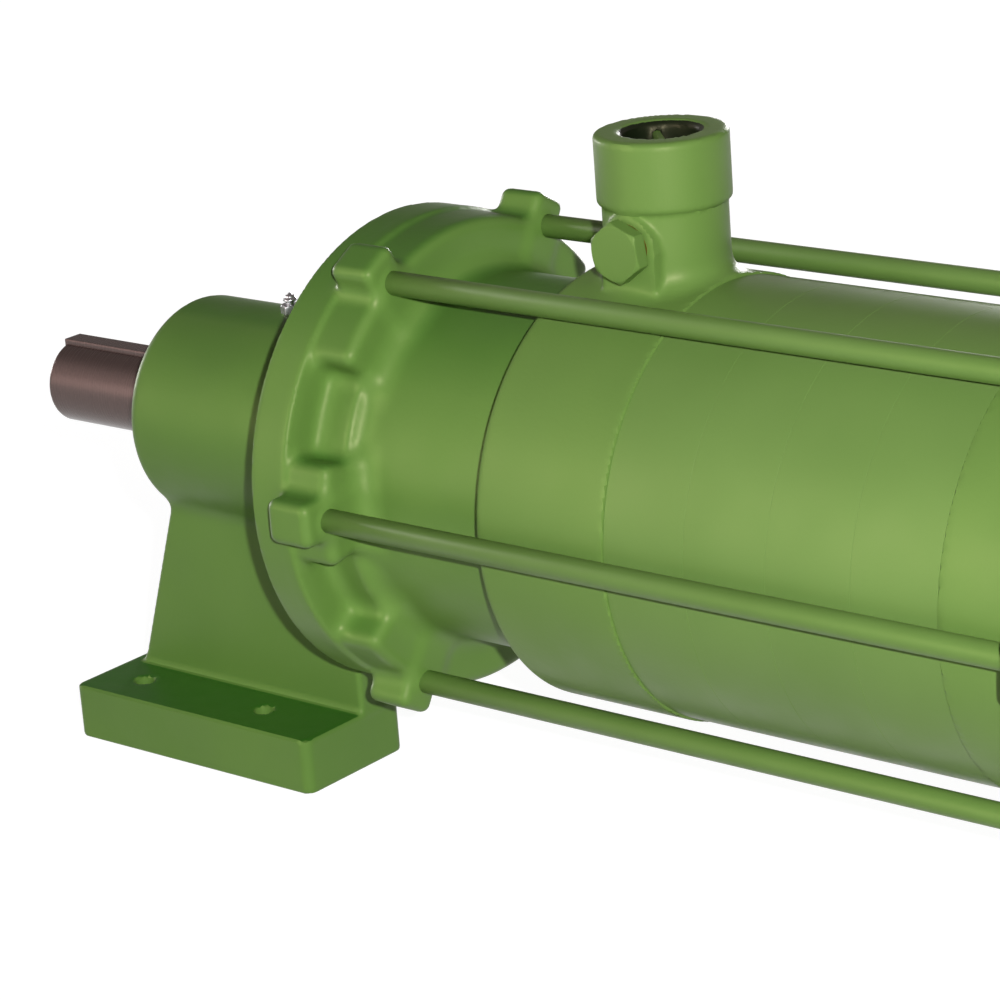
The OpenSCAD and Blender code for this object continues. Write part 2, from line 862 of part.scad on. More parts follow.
// discharge casing with its top port, collector space and flow splitter
module discharge_casing() {
  color(green)
    place() {
      difference() {
        union() {
          tube_x(seam_1, discharge_length, casing_r, seal_chamber_r, seam_chamfer);
          tube_x(seam_1 - spigot_thick, spigot_thick + 1, pocket_r - seat_gap, pocket_r - 8, 0.5);
          port_body(port_x, collar_r, port_neck_r);
        }
        turned([[seal_chamber_r + 10, seam_1 + 9], [casing_bore_r, seam_1 + 9],
          [casing_bore_r, seam_2 - diaphragm_thick], [seal_chamber_r + 10, seam_2 - diaphragm_thick]]);
        rod_x(seam_1 - 1, discharge_length + 2, seal_chamber_r + 6);
        turned([[seal_chamber_r + 4, seam_2 - diaphragm_thick - 1],
          [diffuser_plate_r - 2, seam_2 - diaphragm_thick - 1],
          [diffuser_plate_r - 2, seam_2 + 1], [seal_chamber_r + 4, seam_2 + 1]]);
        translate([port_x, 0, 60])
          cylinder(h = port_height, r = port_bore_r);
        translate([port_x, 0, port_height - 1.5])
          cylinder(h = 2, r1 = port_bore_r, r2 = port_bore_r + 2);
        translate([port_x, 0, plug_height])
          rotate([90, 0, 0])
            cylinder(h = 60, r = plug_thread_r + seat_gap);
      }
      intersection() {
        translate([port_x, 0, casing_bore_r + 1])
          rotate([0, 0, -45])
            translate([-port_bore_r - 2, -splitter_thick / 2, 0])
              cube([2 * port_bore_r + 4, splitter_thick, port_height - splitter_depth - casing_bore_r - 1]);
        translate([port_x, 0, 60])
          cylinder(h = port_height, r = port_bore_r + 2);
      }
    }
}

// hexagon plug with flange, for the boss at station x on a neck of radius r
module hex_plug(x, out) {
  translate([x, 0, plug_height])
    rotate([90, 0, 0]) {
      translate([0, 0, out - 10])
        cylinder(h = 10 + gasket_thick + 1, r = plug_thread_r);
      translate([0, 0, out + gasket_thick])
        rotate([0, 0, 0])
          cylinder(h = plug_head, r = plug_flats / sqrt(3), $fn = 6);
    }
}

// gauge plug of the discharge port
module discharge_plug() {
  color(green)
    place()
      hex_plug(port_x, plug_boss_out);
}

// gauge plug of the suction port
module suction_plug() {
  color(green)
    place()
      hex_plug(suction_x, plug_boss_out + suction_collar_r - collar_r);
}

// flat gaskets under the plugs
module plug_gaskets() {
  color(bronze)
    place()
      for (p = [[port_x, plug_boss_out], [suction_x, plug_boss_out + suction_collar_r - collar_r]])
        translate([p[0], -p[1], plug_height])
          rotate([90, 0, 0])
            difference() {
              cylinder(h = gasket_thick, r = plug_flats / 2 - 0.6);
              translate([0, 0, -1])
                cylinder(h = 4, r = plug_thread_r + 0.1);
            }
}

// one stage casing with diaphragm and o-ring groove
module stage_casing(k) {
  x = seam_2 + k * stage_pitch;
  color(green)
    place()
      difference() {
        tube_x(x, stage_pitch, stage_r, wear_ring_r, seam_chamfer);
        rod_x(x - 1, stage_pitch - diaphragm_thick + 1, casing_bore_r);
        cord_groove(x);
      }
}

// groove for an o-ring in the face of a casing
module cord_groove(x) {
  turned([[cord_pitch_r - cord_r - 0.2, x - 0.01], [cord_pitch_r + cord_r + 0.2, x - 0.01],
    [cord_pitch_r + cord_r + 0.2, x + 2 * cord_r], [cord_pitch_r - cord_r - 0.2, x + 2 * cord_r]]);
}

// o-rings between the casings
module casing_o_rings() {
  color(rubber_black)
    place()
      for (k = [0 : 4])
        translate([seam_2 + k * stage_pitch + cord_r, 0, 0])
          rotate([0, 90, 0])
            rotate_extrude()
              translate([cord_pitch_r, 0])
                circle(r = cord_r, $fn = 24);
}

// wear rings in the diaphragms
module wear_rings() {
  color(bronze)
    place()
      for (k = [0 : 3])
        tube_x(seam_2 + k * stage_pitch + eye_start, diaphragm_thick,
          wear_ring_r - seat_gap, eye_r + wear_gap, 0.2);
}

// outline of one curved blade from the hub to the rim
function blade_side(r0, r1, wrap, t, side) =
  [for (i = [0 : 10]) let (f = i / 10, r = r0 + (r1 - r0) * f, a = wrap * f * (1.15 - 0.15 * f),
      b = a + 50 * sign(wrap))
    [r * cos(a) - side * t / 2 * sin(b), r * sin(a) + side * t / 2 * cos(b)]];

module curved_blade(r0, r1, wrap, t) {
  one = blade_side(r0, r1, wrap, t, 1);
  two = blade_side(r0, r1, wrap, t, -1);
  polygon(concat(one, [for (i = [0 : 10]) two[10 - i]]));
}

// closed impeller of stage k, eye towards the suction end
module impeller(k) {
  x = seam_2 + k * stage_pitch;
  back = shroud_front - passage_width - shroud_thick;
  color(bronze)
    place()
      difference() {
        union() {
          rod_x(x + hub_start, hub_end - hub_start, hub_r);
          tube_x(x + back, shroud_thick, impeller_r, pump_shaft_r, 0.3);
          translate([x + back + shroud_thick - 0.2, 0, 0])
            rotate([0, 90, 0])
              linear_extrude(height = passage_width + 0.4)
                for (b = [0 : blade_count - 1])
                  rotate(360 / blade_count * b + 15 * k)
                    curved_blade(hub_r - 0.5, impeller_r - 0.6, -blade_wrap, blade_thick);
          tube_x(x + shroud_front, shroud_thick, impeller_r, eye_bore_r, 0.3);
          tube_x(x + shroud_front + 1, eye_start + diaphragm_thick - shroud_front - 1.6,
            eye_r, eye_bore_r, 0.4);
        }
        rod_x(x, stage_pitch, pump_shaft_r);
        translate([x, -impeller_key / 2, 0])
          cube([stage_pitch, impeller_key, pump_shaft_r + 2.2]);
      }
}

// diffuser of stage k with its return vanes
module diffuser(k) {
  x = seam_2 + k * stage_pitch;
  color(iron)
    place()
      difference() {
        union() {
          rod_x(x + diffuser_depth - 5, 3, diffuser_plate_r);
          translate([x, 0, 0])
            rotate([0, 90, 0])
              linear_extrude(height = diffuser_depth - 4)
                for (b = [0 : vane_count - 1])
                  rotate(360 / vane_count * b)
                    intersection() {
                      curved_blade(wear_ring_r + 4, casing_bore_r + 2, 50, vane_thick);
                      circle(r = casing_bore_r - seat_gap);
                    }
        }
        rod_x(x - 1, stage_pitch, hub_r + 1.5);
      }
}

// sleeves that space the impellers on the shaft
module spacer_sleeves() {
  color(steel)
    place()
      difference() {
        union() {
          tube_x(seal_shoulder, seam_2 + hub_start - seal_shoulder, sleeve_r, pump_shaft_r, 0.4);
          for (k = [0 : 2])
            tube_x(seam_2 + k * stage_pitch + hub_end, stage_pitch - hub_end + hub_start,
              sleeve_r, pump_shaft_r, 0.4);
          tube_x(seam_3 - stage_pitch + hub_end, nut_start - seam_3 + stage_pitch - hub_end,
            sleeve_r, pump_shaft_r, 0.4);
        }
        translate([seam_2, -impeller_key / 2, 0])
          cube([seam_3 - seam_2 + 8, impeller_key, pump_shaft_r + 2.2]);
      }
}

// nut that clamps the rotor
module shaft_nut() {
  color(steel)
    place()
      difference() {
        hex_x(nut_start, 12, 41);
        rod_x(nut_start - 1, 14, pump_shaft_r);
      }
}

// suction casing with lugs, bowl, port and foot
module suction_casing() {
  color(green)
    place()
      difference() {
        union() {
          tube_x(seam_3, suction_barrel_length + 2, casing_r, wear_ring_r + 8, seam_chamfer);
          lug_ring();
          for (k = [0 : rod_count - 1])
            rotate([30 + 60 * k, 0, 0])
              rod_boss(lug_face, lug_thick, lug_half);
          turned([[20, lug_back - 2], [bowl_r + 3, lug_back - 2], [bowl_r, lug_back + 6],
            [bowl_r, bowl_end - 2], [bowl_r - 2, bowl_end], [20, bowl_end]]);
          port_body(suction_x, suction_collar_r, suction_collar_r - collar_r + port_neck_r);
          rear_pedestal();
        }
        suction_bores();
      }
}

// pedestal and foot plate under the suction bowl
module rear_pedestal() {
  foot_x = suction_x;
  translate([foot_x - rear_foot_half_x, -rear_foot_half_y, -axis_height])
    cube([2 * rear_foot_half_x, 2 * rear_foot_half_y, rear_foot_thick]);
  translate([foot_x - 7, -rear_web_half_y, -axis_height + rear_foot_thick - 1])
    cube([14, 2 * rear_web_half_y, axis_height - rear_foot_thick - bowl_r + 20]);
  for (s = [-1, 1])
    translate([foot_x - rear_foot_half_x + 6, s * rear_web_half_y - 5, -axis_height + rear_foot_thick - 1])
      cube([2 * rear_foot_half_x - 12, 10, axis_height - rear_foot_thick - bowl_r + 20]);
}

// hollow of the suction casing, rod holes, port bore and foot holes
module suction_bores() {
  rod_x(seam_3 - 1, lug_back - seam_3 + 4, wear_ring_r + 6);
  turned([[0, seam_3 + 8], [casing_bore_r - 14, seam_3 + 8], [bowl_r - bowl_wall, lug_back],
    [bowl_r - bowl_wall, bowl_end - 14], [rear_screw_pitch_r - 10, bowl_end - 10],
    [rear_screw_pitch_r - 10, bowl_end + 1], [0, bowl_end + 1]]);
  cord_groove(seam_3);
  at_rods()
    rod_x(lug_face - 1, lug_thick + 2, rod_r + rod_clearance);
  at_rods()
    rod_x(lug_back - 0.01, 80, washer_r + 1.5);
  translate([suction_x, 0, 50])
    cylinder(h = 120, r = suction_bore_r);
  translate([suction_x, 0, port_height - 1.5])
    cylinder(h = 2, r1 = suction_bore_r, r2 = suction_bore_r + 2);
  translate([suction_x, 0, plug_height])
    rotate([90, 0, 0])
      cylinder(h = 60, r = plug_thread_r + seat_gap);
  translate([drain_x(), 0, 0])
    rotate([90, 0, 0])
      cylinder(h = casing_r + 20, r = plug_thread_r + seat_gap);
  at_rear_screws()
    rod_x(bowl_end - 16, 17, rear_screw_r + seat_gap);
  for (sx = [-1, 1], sy = [-1, 1])
    translate([suction_x + sx * rear_hole_x, sy * rear_hole_y, -axis_height - 1])
      cylinder(h = rear_foot_thick + 2, r = foot_hole_r);
}

// station of the drain plug
function drain_x() = lug_back + 30;

// drain plug on the front of the suction bowl
module drain_plug() {
  color(green)
    place()
      translate([drain_x(), 0, 0])
        rotate([90, 0, 0]) {
          translate([0, 0, bowl_r - bowl_wall])
            cylinder(h = bowl_wall + 1, r = plug_thread_r);
          translate([0, 0, bowl_r])
            cylinder(h = plug_head, r = 19 / sqrt(3), $fn = 6);
        }
}

// end cover with the cap over the plain bearing
module rear_end_cover() {
  color(green)
    place()
      difference() {
        union() {
          turned([[0, bowl_end], [rear_cover_r, bowl_end], [rear_cover_r, bowl_end + rear_cover_thick - 2],
            [rear_cover_r - 2, bowl_end + rear_cover_thick], [rear_cap_r + 3, bowl_end + rear_cover_thick],
            [rear_cap_r, bowl_end + rear_cover_thick + 3], [rear_cap_r, rear_end - 4],
            [rear_cap_r - 4, rear_end], [0, rear_end]]);
          tube_x(bowl_end - 6, 7, rear_screw_pitch_r - 10 - seat_gap, bush_r + 8, 0.5);
        }
        rod_x(bowl_end - 1, rear_end - bowl_end - 7, bush_r + seat_gap);
        at_rear_screws()
          rod_x(bowl_end - 1, rear_cover_thick + 2, rear_screw_r + screw_clearance);
      }
}

// plain bush that carries the rear journal
module rear_bush() {
  color(bronze)
    place()
      tube_x(bowl_end + 1, 22, bush_r, rear_journal_r + running_gap, 0.6);
}

// screws of the rear cover
module rear_cover_screws() {
  color(green)
    place()
      at_rear_screws() {
        rod_x(bowl_end - 12, rear_cover_thick + 12.5, rear_screw_r);
        hex_x(bowl_end + rear_cover_thick, 5.5, 13);
      }
}

// six tie rods
module tie_rods() {
  color(green)
    place()
      at_rods()
        turned([[0, rod_start + 0.2], [rod_r - 0.8, rod_start + 0.2], [rod_r, rod_start + 1],
          [rod_r, rod_end - 1], [rod_r - 1, rod_end], [0, rod_end]]);
}

// washers under the rod nuts
module rod_washers() {
  color(steel)
    place()
      at_rods()
        tube_x(lug_back, washer_thick, washer_r, rod_r + rod_clearance, 0.3);
}

// nuts on the rods
module rod_nuts() {
  color(steel)
    place()
      at_rods()
        difference() {
          hex_x(lug_back + washer_thick, nut_height, nut_flats);
          rod_x(lug_back + washer_thick - 1, nut_height + 2, rod_r + seat_gap);
        }
}

bearing_bracket();
drive_end_cover();
cover_circlip();
lip_seal();
bearing_outer_ring();
bearing_inner_ring();
bearing_balls();
drive_shaft();
coupling_key();
impeller_drive_key();
grease_nipple();
tie_flange();
bracket_screws();
seal_seat();
seal_face_ring();
seal_spring_set();
discharge_casing();
discharge_plug();
suction_plug();
plug_gaskets();
stage_casing(0);  // stage_casing_1
stage_casing(1);  // stage_casing_2
stage_casing(2);  // stage_casing_3
stage_casing(3);  // stage_casing_4
impeller(0);  // impeller_1
impeller(1);  // impeller_2
impeller(2);  // impeller_3
impeller(3);  // impeller_4
diffuser(0);  // diffuser_1
diffuser(1);  // diffuser_2
diffuser(2);  // diffuser_3
diffuser(3);  // diffuser_4
wear_rings();
casing_o_rings();
spacer_sleeves();
shaft_nut();
suction_casing();
drain_plug();
rear_end_cover();
rear_bush();
rear_cover_screws();
tie_rods();
rod_washers();
rod_nuts();
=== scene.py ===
# %% [markdown]
# # A bare shaft multistage pump
#
# The object is a horizontal pump: a bearing bracket on a foot, a flange with six lobes for the tie
# rods, a casing with the discharge port, four stage casings and the suction casing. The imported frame
# brings every part at its true place. The cells below give the castings the soft edges and fillets of
# poured iron, the fasteners their chamfers, and every surface its paint or metal.

# %% Setup
import json
import math
import bmesh
import bpy
import numpy as np
import openvdb
from mathutils import Matrix, Vector


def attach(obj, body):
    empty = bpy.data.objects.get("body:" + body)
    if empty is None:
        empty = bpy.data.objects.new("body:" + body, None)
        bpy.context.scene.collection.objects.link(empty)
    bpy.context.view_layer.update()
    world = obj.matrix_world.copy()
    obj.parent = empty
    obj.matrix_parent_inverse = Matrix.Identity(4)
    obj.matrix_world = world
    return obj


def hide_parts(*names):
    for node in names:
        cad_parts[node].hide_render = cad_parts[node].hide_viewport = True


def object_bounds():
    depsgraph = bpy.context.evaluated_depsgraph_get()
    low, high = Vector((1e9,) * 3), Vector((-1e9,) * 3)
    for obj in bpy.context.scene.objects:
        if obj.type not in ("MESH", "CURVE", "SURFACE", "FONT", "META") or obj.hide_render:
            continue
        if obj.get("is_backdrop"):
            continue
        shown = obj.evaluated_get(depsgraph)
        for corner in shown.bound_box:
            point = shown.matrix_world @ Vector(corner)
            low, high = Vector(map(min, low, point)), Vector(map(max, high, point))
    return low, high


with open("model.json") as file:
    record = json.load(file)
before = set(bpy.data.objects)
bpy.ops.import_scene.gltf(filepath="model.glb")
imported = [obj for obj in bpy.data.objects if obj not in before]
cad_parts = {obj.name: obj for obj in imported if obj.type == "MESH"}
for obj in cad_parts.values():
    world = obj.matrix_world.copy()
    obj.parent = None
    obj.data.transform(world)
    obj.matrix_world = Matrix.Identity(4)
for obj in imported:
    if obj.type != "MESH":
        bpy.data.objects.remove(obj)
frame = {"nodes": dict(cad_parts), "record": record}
cad_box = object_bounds()
nodes = frame["nodes"]
scene = bpy.context.scene
scene.view_settings.view_transform = "Standard"

# %% [markdown]
# ## Measures
#
# The pump is easiest to describe in millimetres, along its own axis: x starts at the drive face of the
# tie flange, z at the shaft axis. One function turns that into the frame of the part, which is in
# metres, on the floor and centred.

# %% Stations and radii of the pump, in millimetres
MID_X = 141.2
AXIS_HEIGHT = 145.0
SHAFT_TIP = -208.0
HOUSING_END = -126.0
SEAM_1 = 110.0
SEAM_2 = 173.5
STAGE_PITCH = 37.8
SEAM_3 = SEAM_2 + 4 * STAGE_PITCH
LUG_FACE = SEAM_3 + 39.7
LUG_BACK = LUG_FACE + 22.0
BOWL_END = LUG_BACK + 66.0
REAR_END = BOWL_END + 38.0
ROD_RING = 100.0
PORT_X = SEAM_1 + 33.7
SUCTION_X = LUG_BACK + 35.0
PORT_TOP = 148.3
COLLAR_HEIGHT = 28.6
PLUG_Z = 105.8
PLUG_OUT = 26.5
PLUG_BOSS = 13.5
PORT_COLLAR, PORT_NECK, PORT_BORE = 27.0, 25.2, 15.4
SUCTION_COLLAR, SUCTION_NECK, SUCTION_BORE = 33.0, 31.2, 22.5
NECK_FLARE = 9.0
BARREL_R = 91.0
STAGE_R = 90.0
HOUSING_R = 48.8
SHAFT_R = 19.0
ROD_R = 5.0
FOOT_HOLE_R = 4.5
FIRST_ROD = 30
RODS = 6


def to_row(points):
    """Pump millimetres to metres in the frame of the part."""
    out = np.array(points, dtype=np.float64)
    out[:, 0] -= MID_X
    out[:, 2] += AXIS_HEIGHT
    return out / 1000.0


print("pump runs from", SHAFT_TIP, "to", REAR_END, "mm along its axis")

# %% [markdown]
# ## Solid shapes as distances
#
# A casting has no sharp inner corners: metal flows into a fillet wherever two forms meet. Bevels can't
# follow such blends through a port neck that stands on a barrel. Distance fields can: each form is a
# function that gives the distance to its surface, and two forms melt together with a chosen radius.

# %% Distance functions
def outline(dx, dr, soft):
    """Distance to a box in two dimensions, with rounded corners."""
    dx = dx + soft
    dr = dr + soft
    return np.hypot(np.maximum(dx, 0), np.maximum(dr, 0)) + np.minimum(np.maximum(dx, dr), 0) - soft


def ring(p, x0, x1, r0, r1, soft=1.0, taper=0.0):
    """Turned ring about the pump axis, from radius r0 to r1; r0 below zero makes it solid."""
    r = np.hypot(p[1], p[2]) + taper * (p[0] - x0)
    along = np.abs(p[0] - (x0 + x1) / 2) - (x1 - x0) / 2
    return outline(along, np.abs(r - (r0 + r1) / 2) - (r1 - r0) / 2, soft)


def rod(p, start, end, radius, soft=0.8):
    """Round bar between two points."""
    a = np.array(start, dtype=float)
    u = np.array(end, dtype=float) - a
    length = np.linalg.norm(u)
    u = u / length
    d = [p[i] - a[i] for i in range(3)]
    t = d[0] * u[0] + d[1] * u[1] + d[2] * u[2]
    r = np.sqrt(np.maximum(d[0] ** 2 + d[1] ** 2 + d[2] ** 2 - t * t, 0))
    return outline(np.abs(t - length / 2) - length / 2, r - radius, soft)


def block(p, low, high, soft=1.0):
    """Box with rounded edges."""
    q = [np.abs(p[i] - (low[i] + high[i]) / 2) - (high[i] - low[i]) / 2 + soft for i in range(3)]
    outside = np.sqrt(sum(np.maximum(v, 0) ** 2 for v in q))
    return outside + np.minimum(np.maximum(np.maximum(q[0], q[1]), q[2]), 0) - soft


def slab(p, corners, y0, y1, soft=1.0):
    """Plate between two y planes, with a polygon of (x, z) corners as its outline."""
    pts = np.array(corners, dtype=float)
    best = np.full(np.broadcast(p[0], p[2]).shape, 1e9)
    sign = np.ones_like(best)
    for i in range(len(pts)):
        a, b = pts[i], pts[i - 1]
        e = b - a
        wx, wz = p[0] - a[0], p[2] - a[1]
        t = np.clip((wx * e[0] + wz * e[1]) / (e @ e), 0, 1)
        best = np.minimum(best, (wx - e[0] * t) ** 2 + (wz - e[1] * t) ** 2)
        above = p[2] >= a[1]
        below = p[2] < b[1]
        left = e[0] * wz > e[1] * wx
        crossed = (above & below & left) | (~above & ~below & ~left)
        sign = np.where(crossed, -sign, sign)
    return outline(sign * np.sqrt(best), np.abs(p[1] - (y0 + y1) / 2) - (y1 - y0) / 2, soft)


def melt(a, b, k):
    """Both forms, with a fillet of about k / 3 where they meet."""
    h = np.maximum(k - np.abs(a - b), 0) / k
    return np.minimum(a, b) - h * h * k / 4


def carve(a, b, k=0.0):
    """The first form without the second, with a rounded rim where k is above zero."""
    return np.maximum(a, -b) if k == 0 else -melt(-a, b, k)


def sector(p, first):
    """The points folded into one of six equal sectors, the one whose middle line stands at the top."""
    a = np.arctan2(-p[1], p[2]) - math.radians(first)
    a = a - np.round(a / (math.pi / 3)) * (math.pi / 3)
    r = np.hypot(p[1], p[2])
    return [p[0], -r * np.sin(a), r * np.cos(a)]


print("distance functions ready")

# %% [markdown]
# ## From distances to a mesh
#
# OpenVDB walks the grid of distances and lays a skin of quads where they are zero. The grid is coarse
# against the size of a fillet, so each corner of the skin is then moved onto the exact surface with a
# few Newton steps and kept inside the box that the call names. That gives smooth castings with few
# faces, which can't grow past the CAD.

# %% Meshing
MARGIN = 2.3
LAYERS = 24
NEWTON_STEPS = 4


def skin(name, field, low, high, voxel, sharp=38):
    """Mesh object of the zero surface of field, inside the box from low to high."""
    box = [np.array(low, dtype=float), np.array(high, dtype=float)]
    low = box[0] - MARGIN * voxel
    size = [int(math.ceil((high[i] + MARGIN * voxel - low[i]) / voxel)) + 1 for i in range(3)]
    y = (low[1] + voxel * np.arange(size[1]))[None, :, None]
    z = (low[2] + voxel * np.arange(size[2]))[None, None, :]
    values = np.empty(size, dtype=np.float32)
    for start in range(0, size[0], LAYERS):
        x = (low[0] + voxel * np.arange(start, min(start + LAYERS, size[0])))[:, None, None]
        p = [np.broadcast_to(v, (x.shape[0], size[1], size[2])) for v in (x, y, z)]
        values[start:start + LAYERS] = field(p)
    reach = 3 * voxel
    grid = openvdb.FloatGrid(background=reach)
    grid.copyFromArray(np.clip(values, -reach, reach))
    points, quads = grid.convertToQuads(isovalue=0.0)
    points = points.astype(np.float64) * voxel + low
    step = 0.02 * voxel
    for _ in range(NEWTON_STEPS):
        p = [points[:, i] for i in range(3)]
        f = field(p)
        g = np.stack([(field([p[j] + (step if j == i else 0) for j in range(3)])
                       - field([p[j] - (step if j == i else 0) for j in range(3)])) / (2 * step)
                      for i in range(3)], axis=1)
        move = -f / np.maximum((g * g).sum(axis=1), 0.25)
        points += np.clip(move, -0.5 * voxel, 0.5 * voxel)[:, None] * g
    points = np.clip(points, box[0], box[1])
    corners = points[quads.astype(np.int64)]
    inner = np.cross(corners[:, 2] - corners[:, 0], corners[:, 3] - corners[:, 1])
    if (inner * corners.mean(axis=1)).sum() < 0:
        quads = quads[:, ::-1]
    return solid(name, to_row(points), quads, sharp)


def solid(name, points, faces, sharp=38):
    """Mesh object from arrays of points and faces, smooth apart from its sharp edges."""
    mesh = bpy.data.meshes.new(name)
    mesh.from_pydata([tuple(v) for v in points], [], [tuple(int(i) for i in f) for f in faces])
    mesh.validate()
    mesh.polygons.foreach_set("use_smooth", [True] * len(mesh.polygons))
    mesh.set_sharp_from_angle(angle=math.radians(sharp))
    obj = bpy.data.objects.new(name, mesh)
    scene.collection.objects.link(obj)
    return obj


print("meshing ready")

# %% [markdown]
# ## Tie flange
#
# The flange carries the six tie rods. In front of a turned rim stands a thick disc with a blunt boss at
# each rod. Beside the two middle bosses a recess goes down to a low ring, where the screws of the
# bearing bracket are tightened. Bosses, ring and neck run into each other, so they melt as distances.

# %% Tie flange
BOSS_FACE = 40.0
RECESSES = [(53, 77), (103, 127), (-77, -53), (-127, -103)]


def wedge(p, first, last, x0, soft):
    """Everything between two angles about the pump axis, beyond a station, with soft inner corners."""
    a, b = math.radians(first), math.radians(last)
    before = p[1] * math.cos(a) + p[2] * math.sin(a)
    after = -p[1] * math.cos(b) - p[2] * math.sin(b)
    return -melt(melt(-before, -after, soft), p[0] - x0, soft)


def rod_bosses(p, f, x0, x1, half, soft, k):
    """Adds the six rod bosses to a body."""
    return melt(f, block(sector(p, FIRST_ROD), (x0, -half, 70), (x1, half, 113), soft), k)


def tie_flange_field(p):
    f = ring(p, 10, BOSS_FACE, -101, 101, 4.5, 0.03)
    for first, last in RECESSES:
        f = carve(f, wedge(p, first, last, 19, 9), 6)
    f = rod_bosses(p, f, 18, BOSS_FACE, 9.5, 4, 6)
    f = melt(f, rod(sector(p, FIRST_ROD), (30, 0, ROD_RING), (BOSS_FACE + 0.8, 0, ROD_RING), 5.3, 0.4), 2)
    f = melt(f, ring(p, 0, 19, -102, 102, 1.3), 2)
    f = melt(f, ring(p, 1, 35, -83, 83, 1.2), 7)
    f = melt(f, ring(p, 1, SEAM_1, -78, 78, 0.8), 11)
    f = carve(f, ring(p, -5, 14, -36, 36, 0.8))
    f = carve(f, ring(p, 12, SEAM_1 + 5, -19.2, 19.2, 0.3))
    f = carve(f, ring(p, 22, 42, -26.02, 26.02, 0.3))
    f = carve(f, ring(p, 40, 98, -34, 34, 2))
    return carve(f, ring(p, 50, SEAM_1 + 9, 42, 70, 2))


tie_flange = skin("tie_flange_casting", tie_flange_field, (0, -114, -114), (SEAM_1, 114, 114), 1.6)
print(tie_flange.name, len(tie_flange.data.polygons), "faces")

# %% [markdown]
# ## Bearing bracket
#
# Bearing housing, web and foot are one casting. From the front the web looks solid; from behind it is
# an open box with a rib, as foundries make it to save iron. The housing end is rounded, and so are the
# corners of the foot, which has two bolt holes in front and a tongue with one hole behind.

# %% Bearing bracket
FOOT_TOP = -120.0
WEB = [(-123, 0), (-123, -39), (-149, -114), (-153, -121), (-17, -121), (-17, 0)]
WEB_POCKET = [(-111, -54), (-133, -112), (-91, -112), (-91, -54)]


def bracket_field(p):
    f = ring(p, HOUSING_END, -2, -HOUSING_R, HOUSING_R, 6)
    f = melt(f, ring(p, -12.5, -4.5, -86, 86, 1.5), 14)
    f = melt(f, ring(p, -6, 0, -82, 82, 0.6), 1.5)
    web = slab(p, WEB, -30, -2, 2)
    web = np.minimum(web, block(p, (-24, -30, -76), (-9.5, -2, 0), 2))
    web = carve(web, slab(p, WEB_POCKET, -18, 30, 3), 3)
    web = carve(web, block(p, (-79, -18, -112), (-29, 30, -54), 4), 3)
    f = melt(f, web, 5)
    rib = np.maximum(block(p, (-91, -20, -121), (-79, 20, -34), 1.5), (p[1] * 87 - 4 * p[2] - 1876) / 87.1)
    f = melt(f, rib, 6)
    plan = outline(np.abs(p[0] + 88) - 71, np.abs(p[1] + 36) - 31, 4.5)
    foot = outline(plan, np.abs(p[2] - (FOOT_TOP - AXIS_HEIGHT) / 2) - (FOOT_TOP + AXIS_HEIGHT) / 2, 1.4)
    foot = melt(foot, block(p, (-103, -20, -AXIS_HEIGHT), (-67, 45, FOOT_TOP), 1.6), 4)
    f = melt(f, foot, 2.5)
    for x, y in ((-134, -47), (-60, -47), (-85, 31)):
        f = carve(f, rod(p, (x, y, -AXIS_HEIGHT - 5), (x, y, FOOT_TOP + 5), FOOT_HOLE_R, 0.3), 0.8)
    f = carve(f, ring(p, HOUSING_END - 5, -95, -40.02, 40.02, 0.3), 1.6)
    f = carve(f, ring(p, -96, -81, -35, 35, 1))
    f = carve(f, ring(p, -82, -50, -24, 24, 1))
    f = carve(f, ring(p, -55, -20, -18.6, 18.6, 0.3))
    return carve(f, ring(p, -26.5, 5, -36, 36, 0.8))


bracket = skin("bearing_bracket_casting", bracket_field, (-159, -87, -AXIS_HEIGHT), (0, 87, 87), 1.6)
print(bracket.name, len(bracket.data.polygons), "faces")

# %% [markdown]
# ## Discharge casing
#
# The port neck stands on the barrel with a small fillet and ends in a turned collar. The boss of the
# gauge plug on its front runs down to the barrel as a low block. The bore holds a cast flow splitter
# just below its mouth.

# %% Discharge casing
def port_form(p, f, x, collar, neck, bore):
    """Adds a port with neck, plug boss and collar to a barrel."""
    f = melt(f, rod(p, (x, 0, 30), (x, 0, PORT_TOP - COLLAR_HEIGHT + 2), neck, 0.5), NECK_FLARE)
    face = -PLUG_OUT + PORT_NECK - neck
    f = melt(f, rod(p, (x, 0, PLUG_Z), (x, face, PLUG_Z), PLUG_BOSS, 1), 1.6)
    f = melt(f, block(p, (x - PLUG_BOSS, face, 75), (x + PLUG_BOSS, 0, PLUG_Z), 1), 1.6)
    f = np.minimum(f, rod(p, (x, 0, PORT_TOP - COLLAR_HEIGHT), (x, 0, PORT_TOP), collar, 2.1))
    f = carve(f, rod(p, (x, 0, 60), (x, 0, PORT_TOP + 9), bore, 0.3))
    mouth = np.hypot(p[0] - x, p[1]) - (bore + 2 - (PORT_TOP - p[2]))
    return carve(f, np.maximum(mouth, PORT_TOP - 4 - p[2]))


def discharge_field(p):
    f = ring(p, SEAM_1, SEAM_1 + 40, -BARREL_R, BARREL_R, 2.4)
    f = np.minimum(f, ring(p, SEAM_1 + 20, SEAM_2, -BARREL_R, BARREL_R, 0.8))
    f = carve(f, ring(p, SEAM_1 + 9, SEAM_2 - 4, 44, 81, 3))
    f = port_form(p, f, PORT_X, PORT_COLLAR, PORT_NECK, PORT_BORE)
    f = carve(f, ring(p, SEAM_1 - 5, SEAM_2 + 5, -40, 40, 0.3))
    turn = math.sqrt(0.5)
    q = [(p[0] - PORT_X) * turn - p[1] * turn, (p[0] - PORT_X) * turn + p[1] * turn, p[2]]
    return np.minimum(f, block(q, (-17, -1.75, 82), (17, 1.75, PORT_TOP - 4), 0.8))


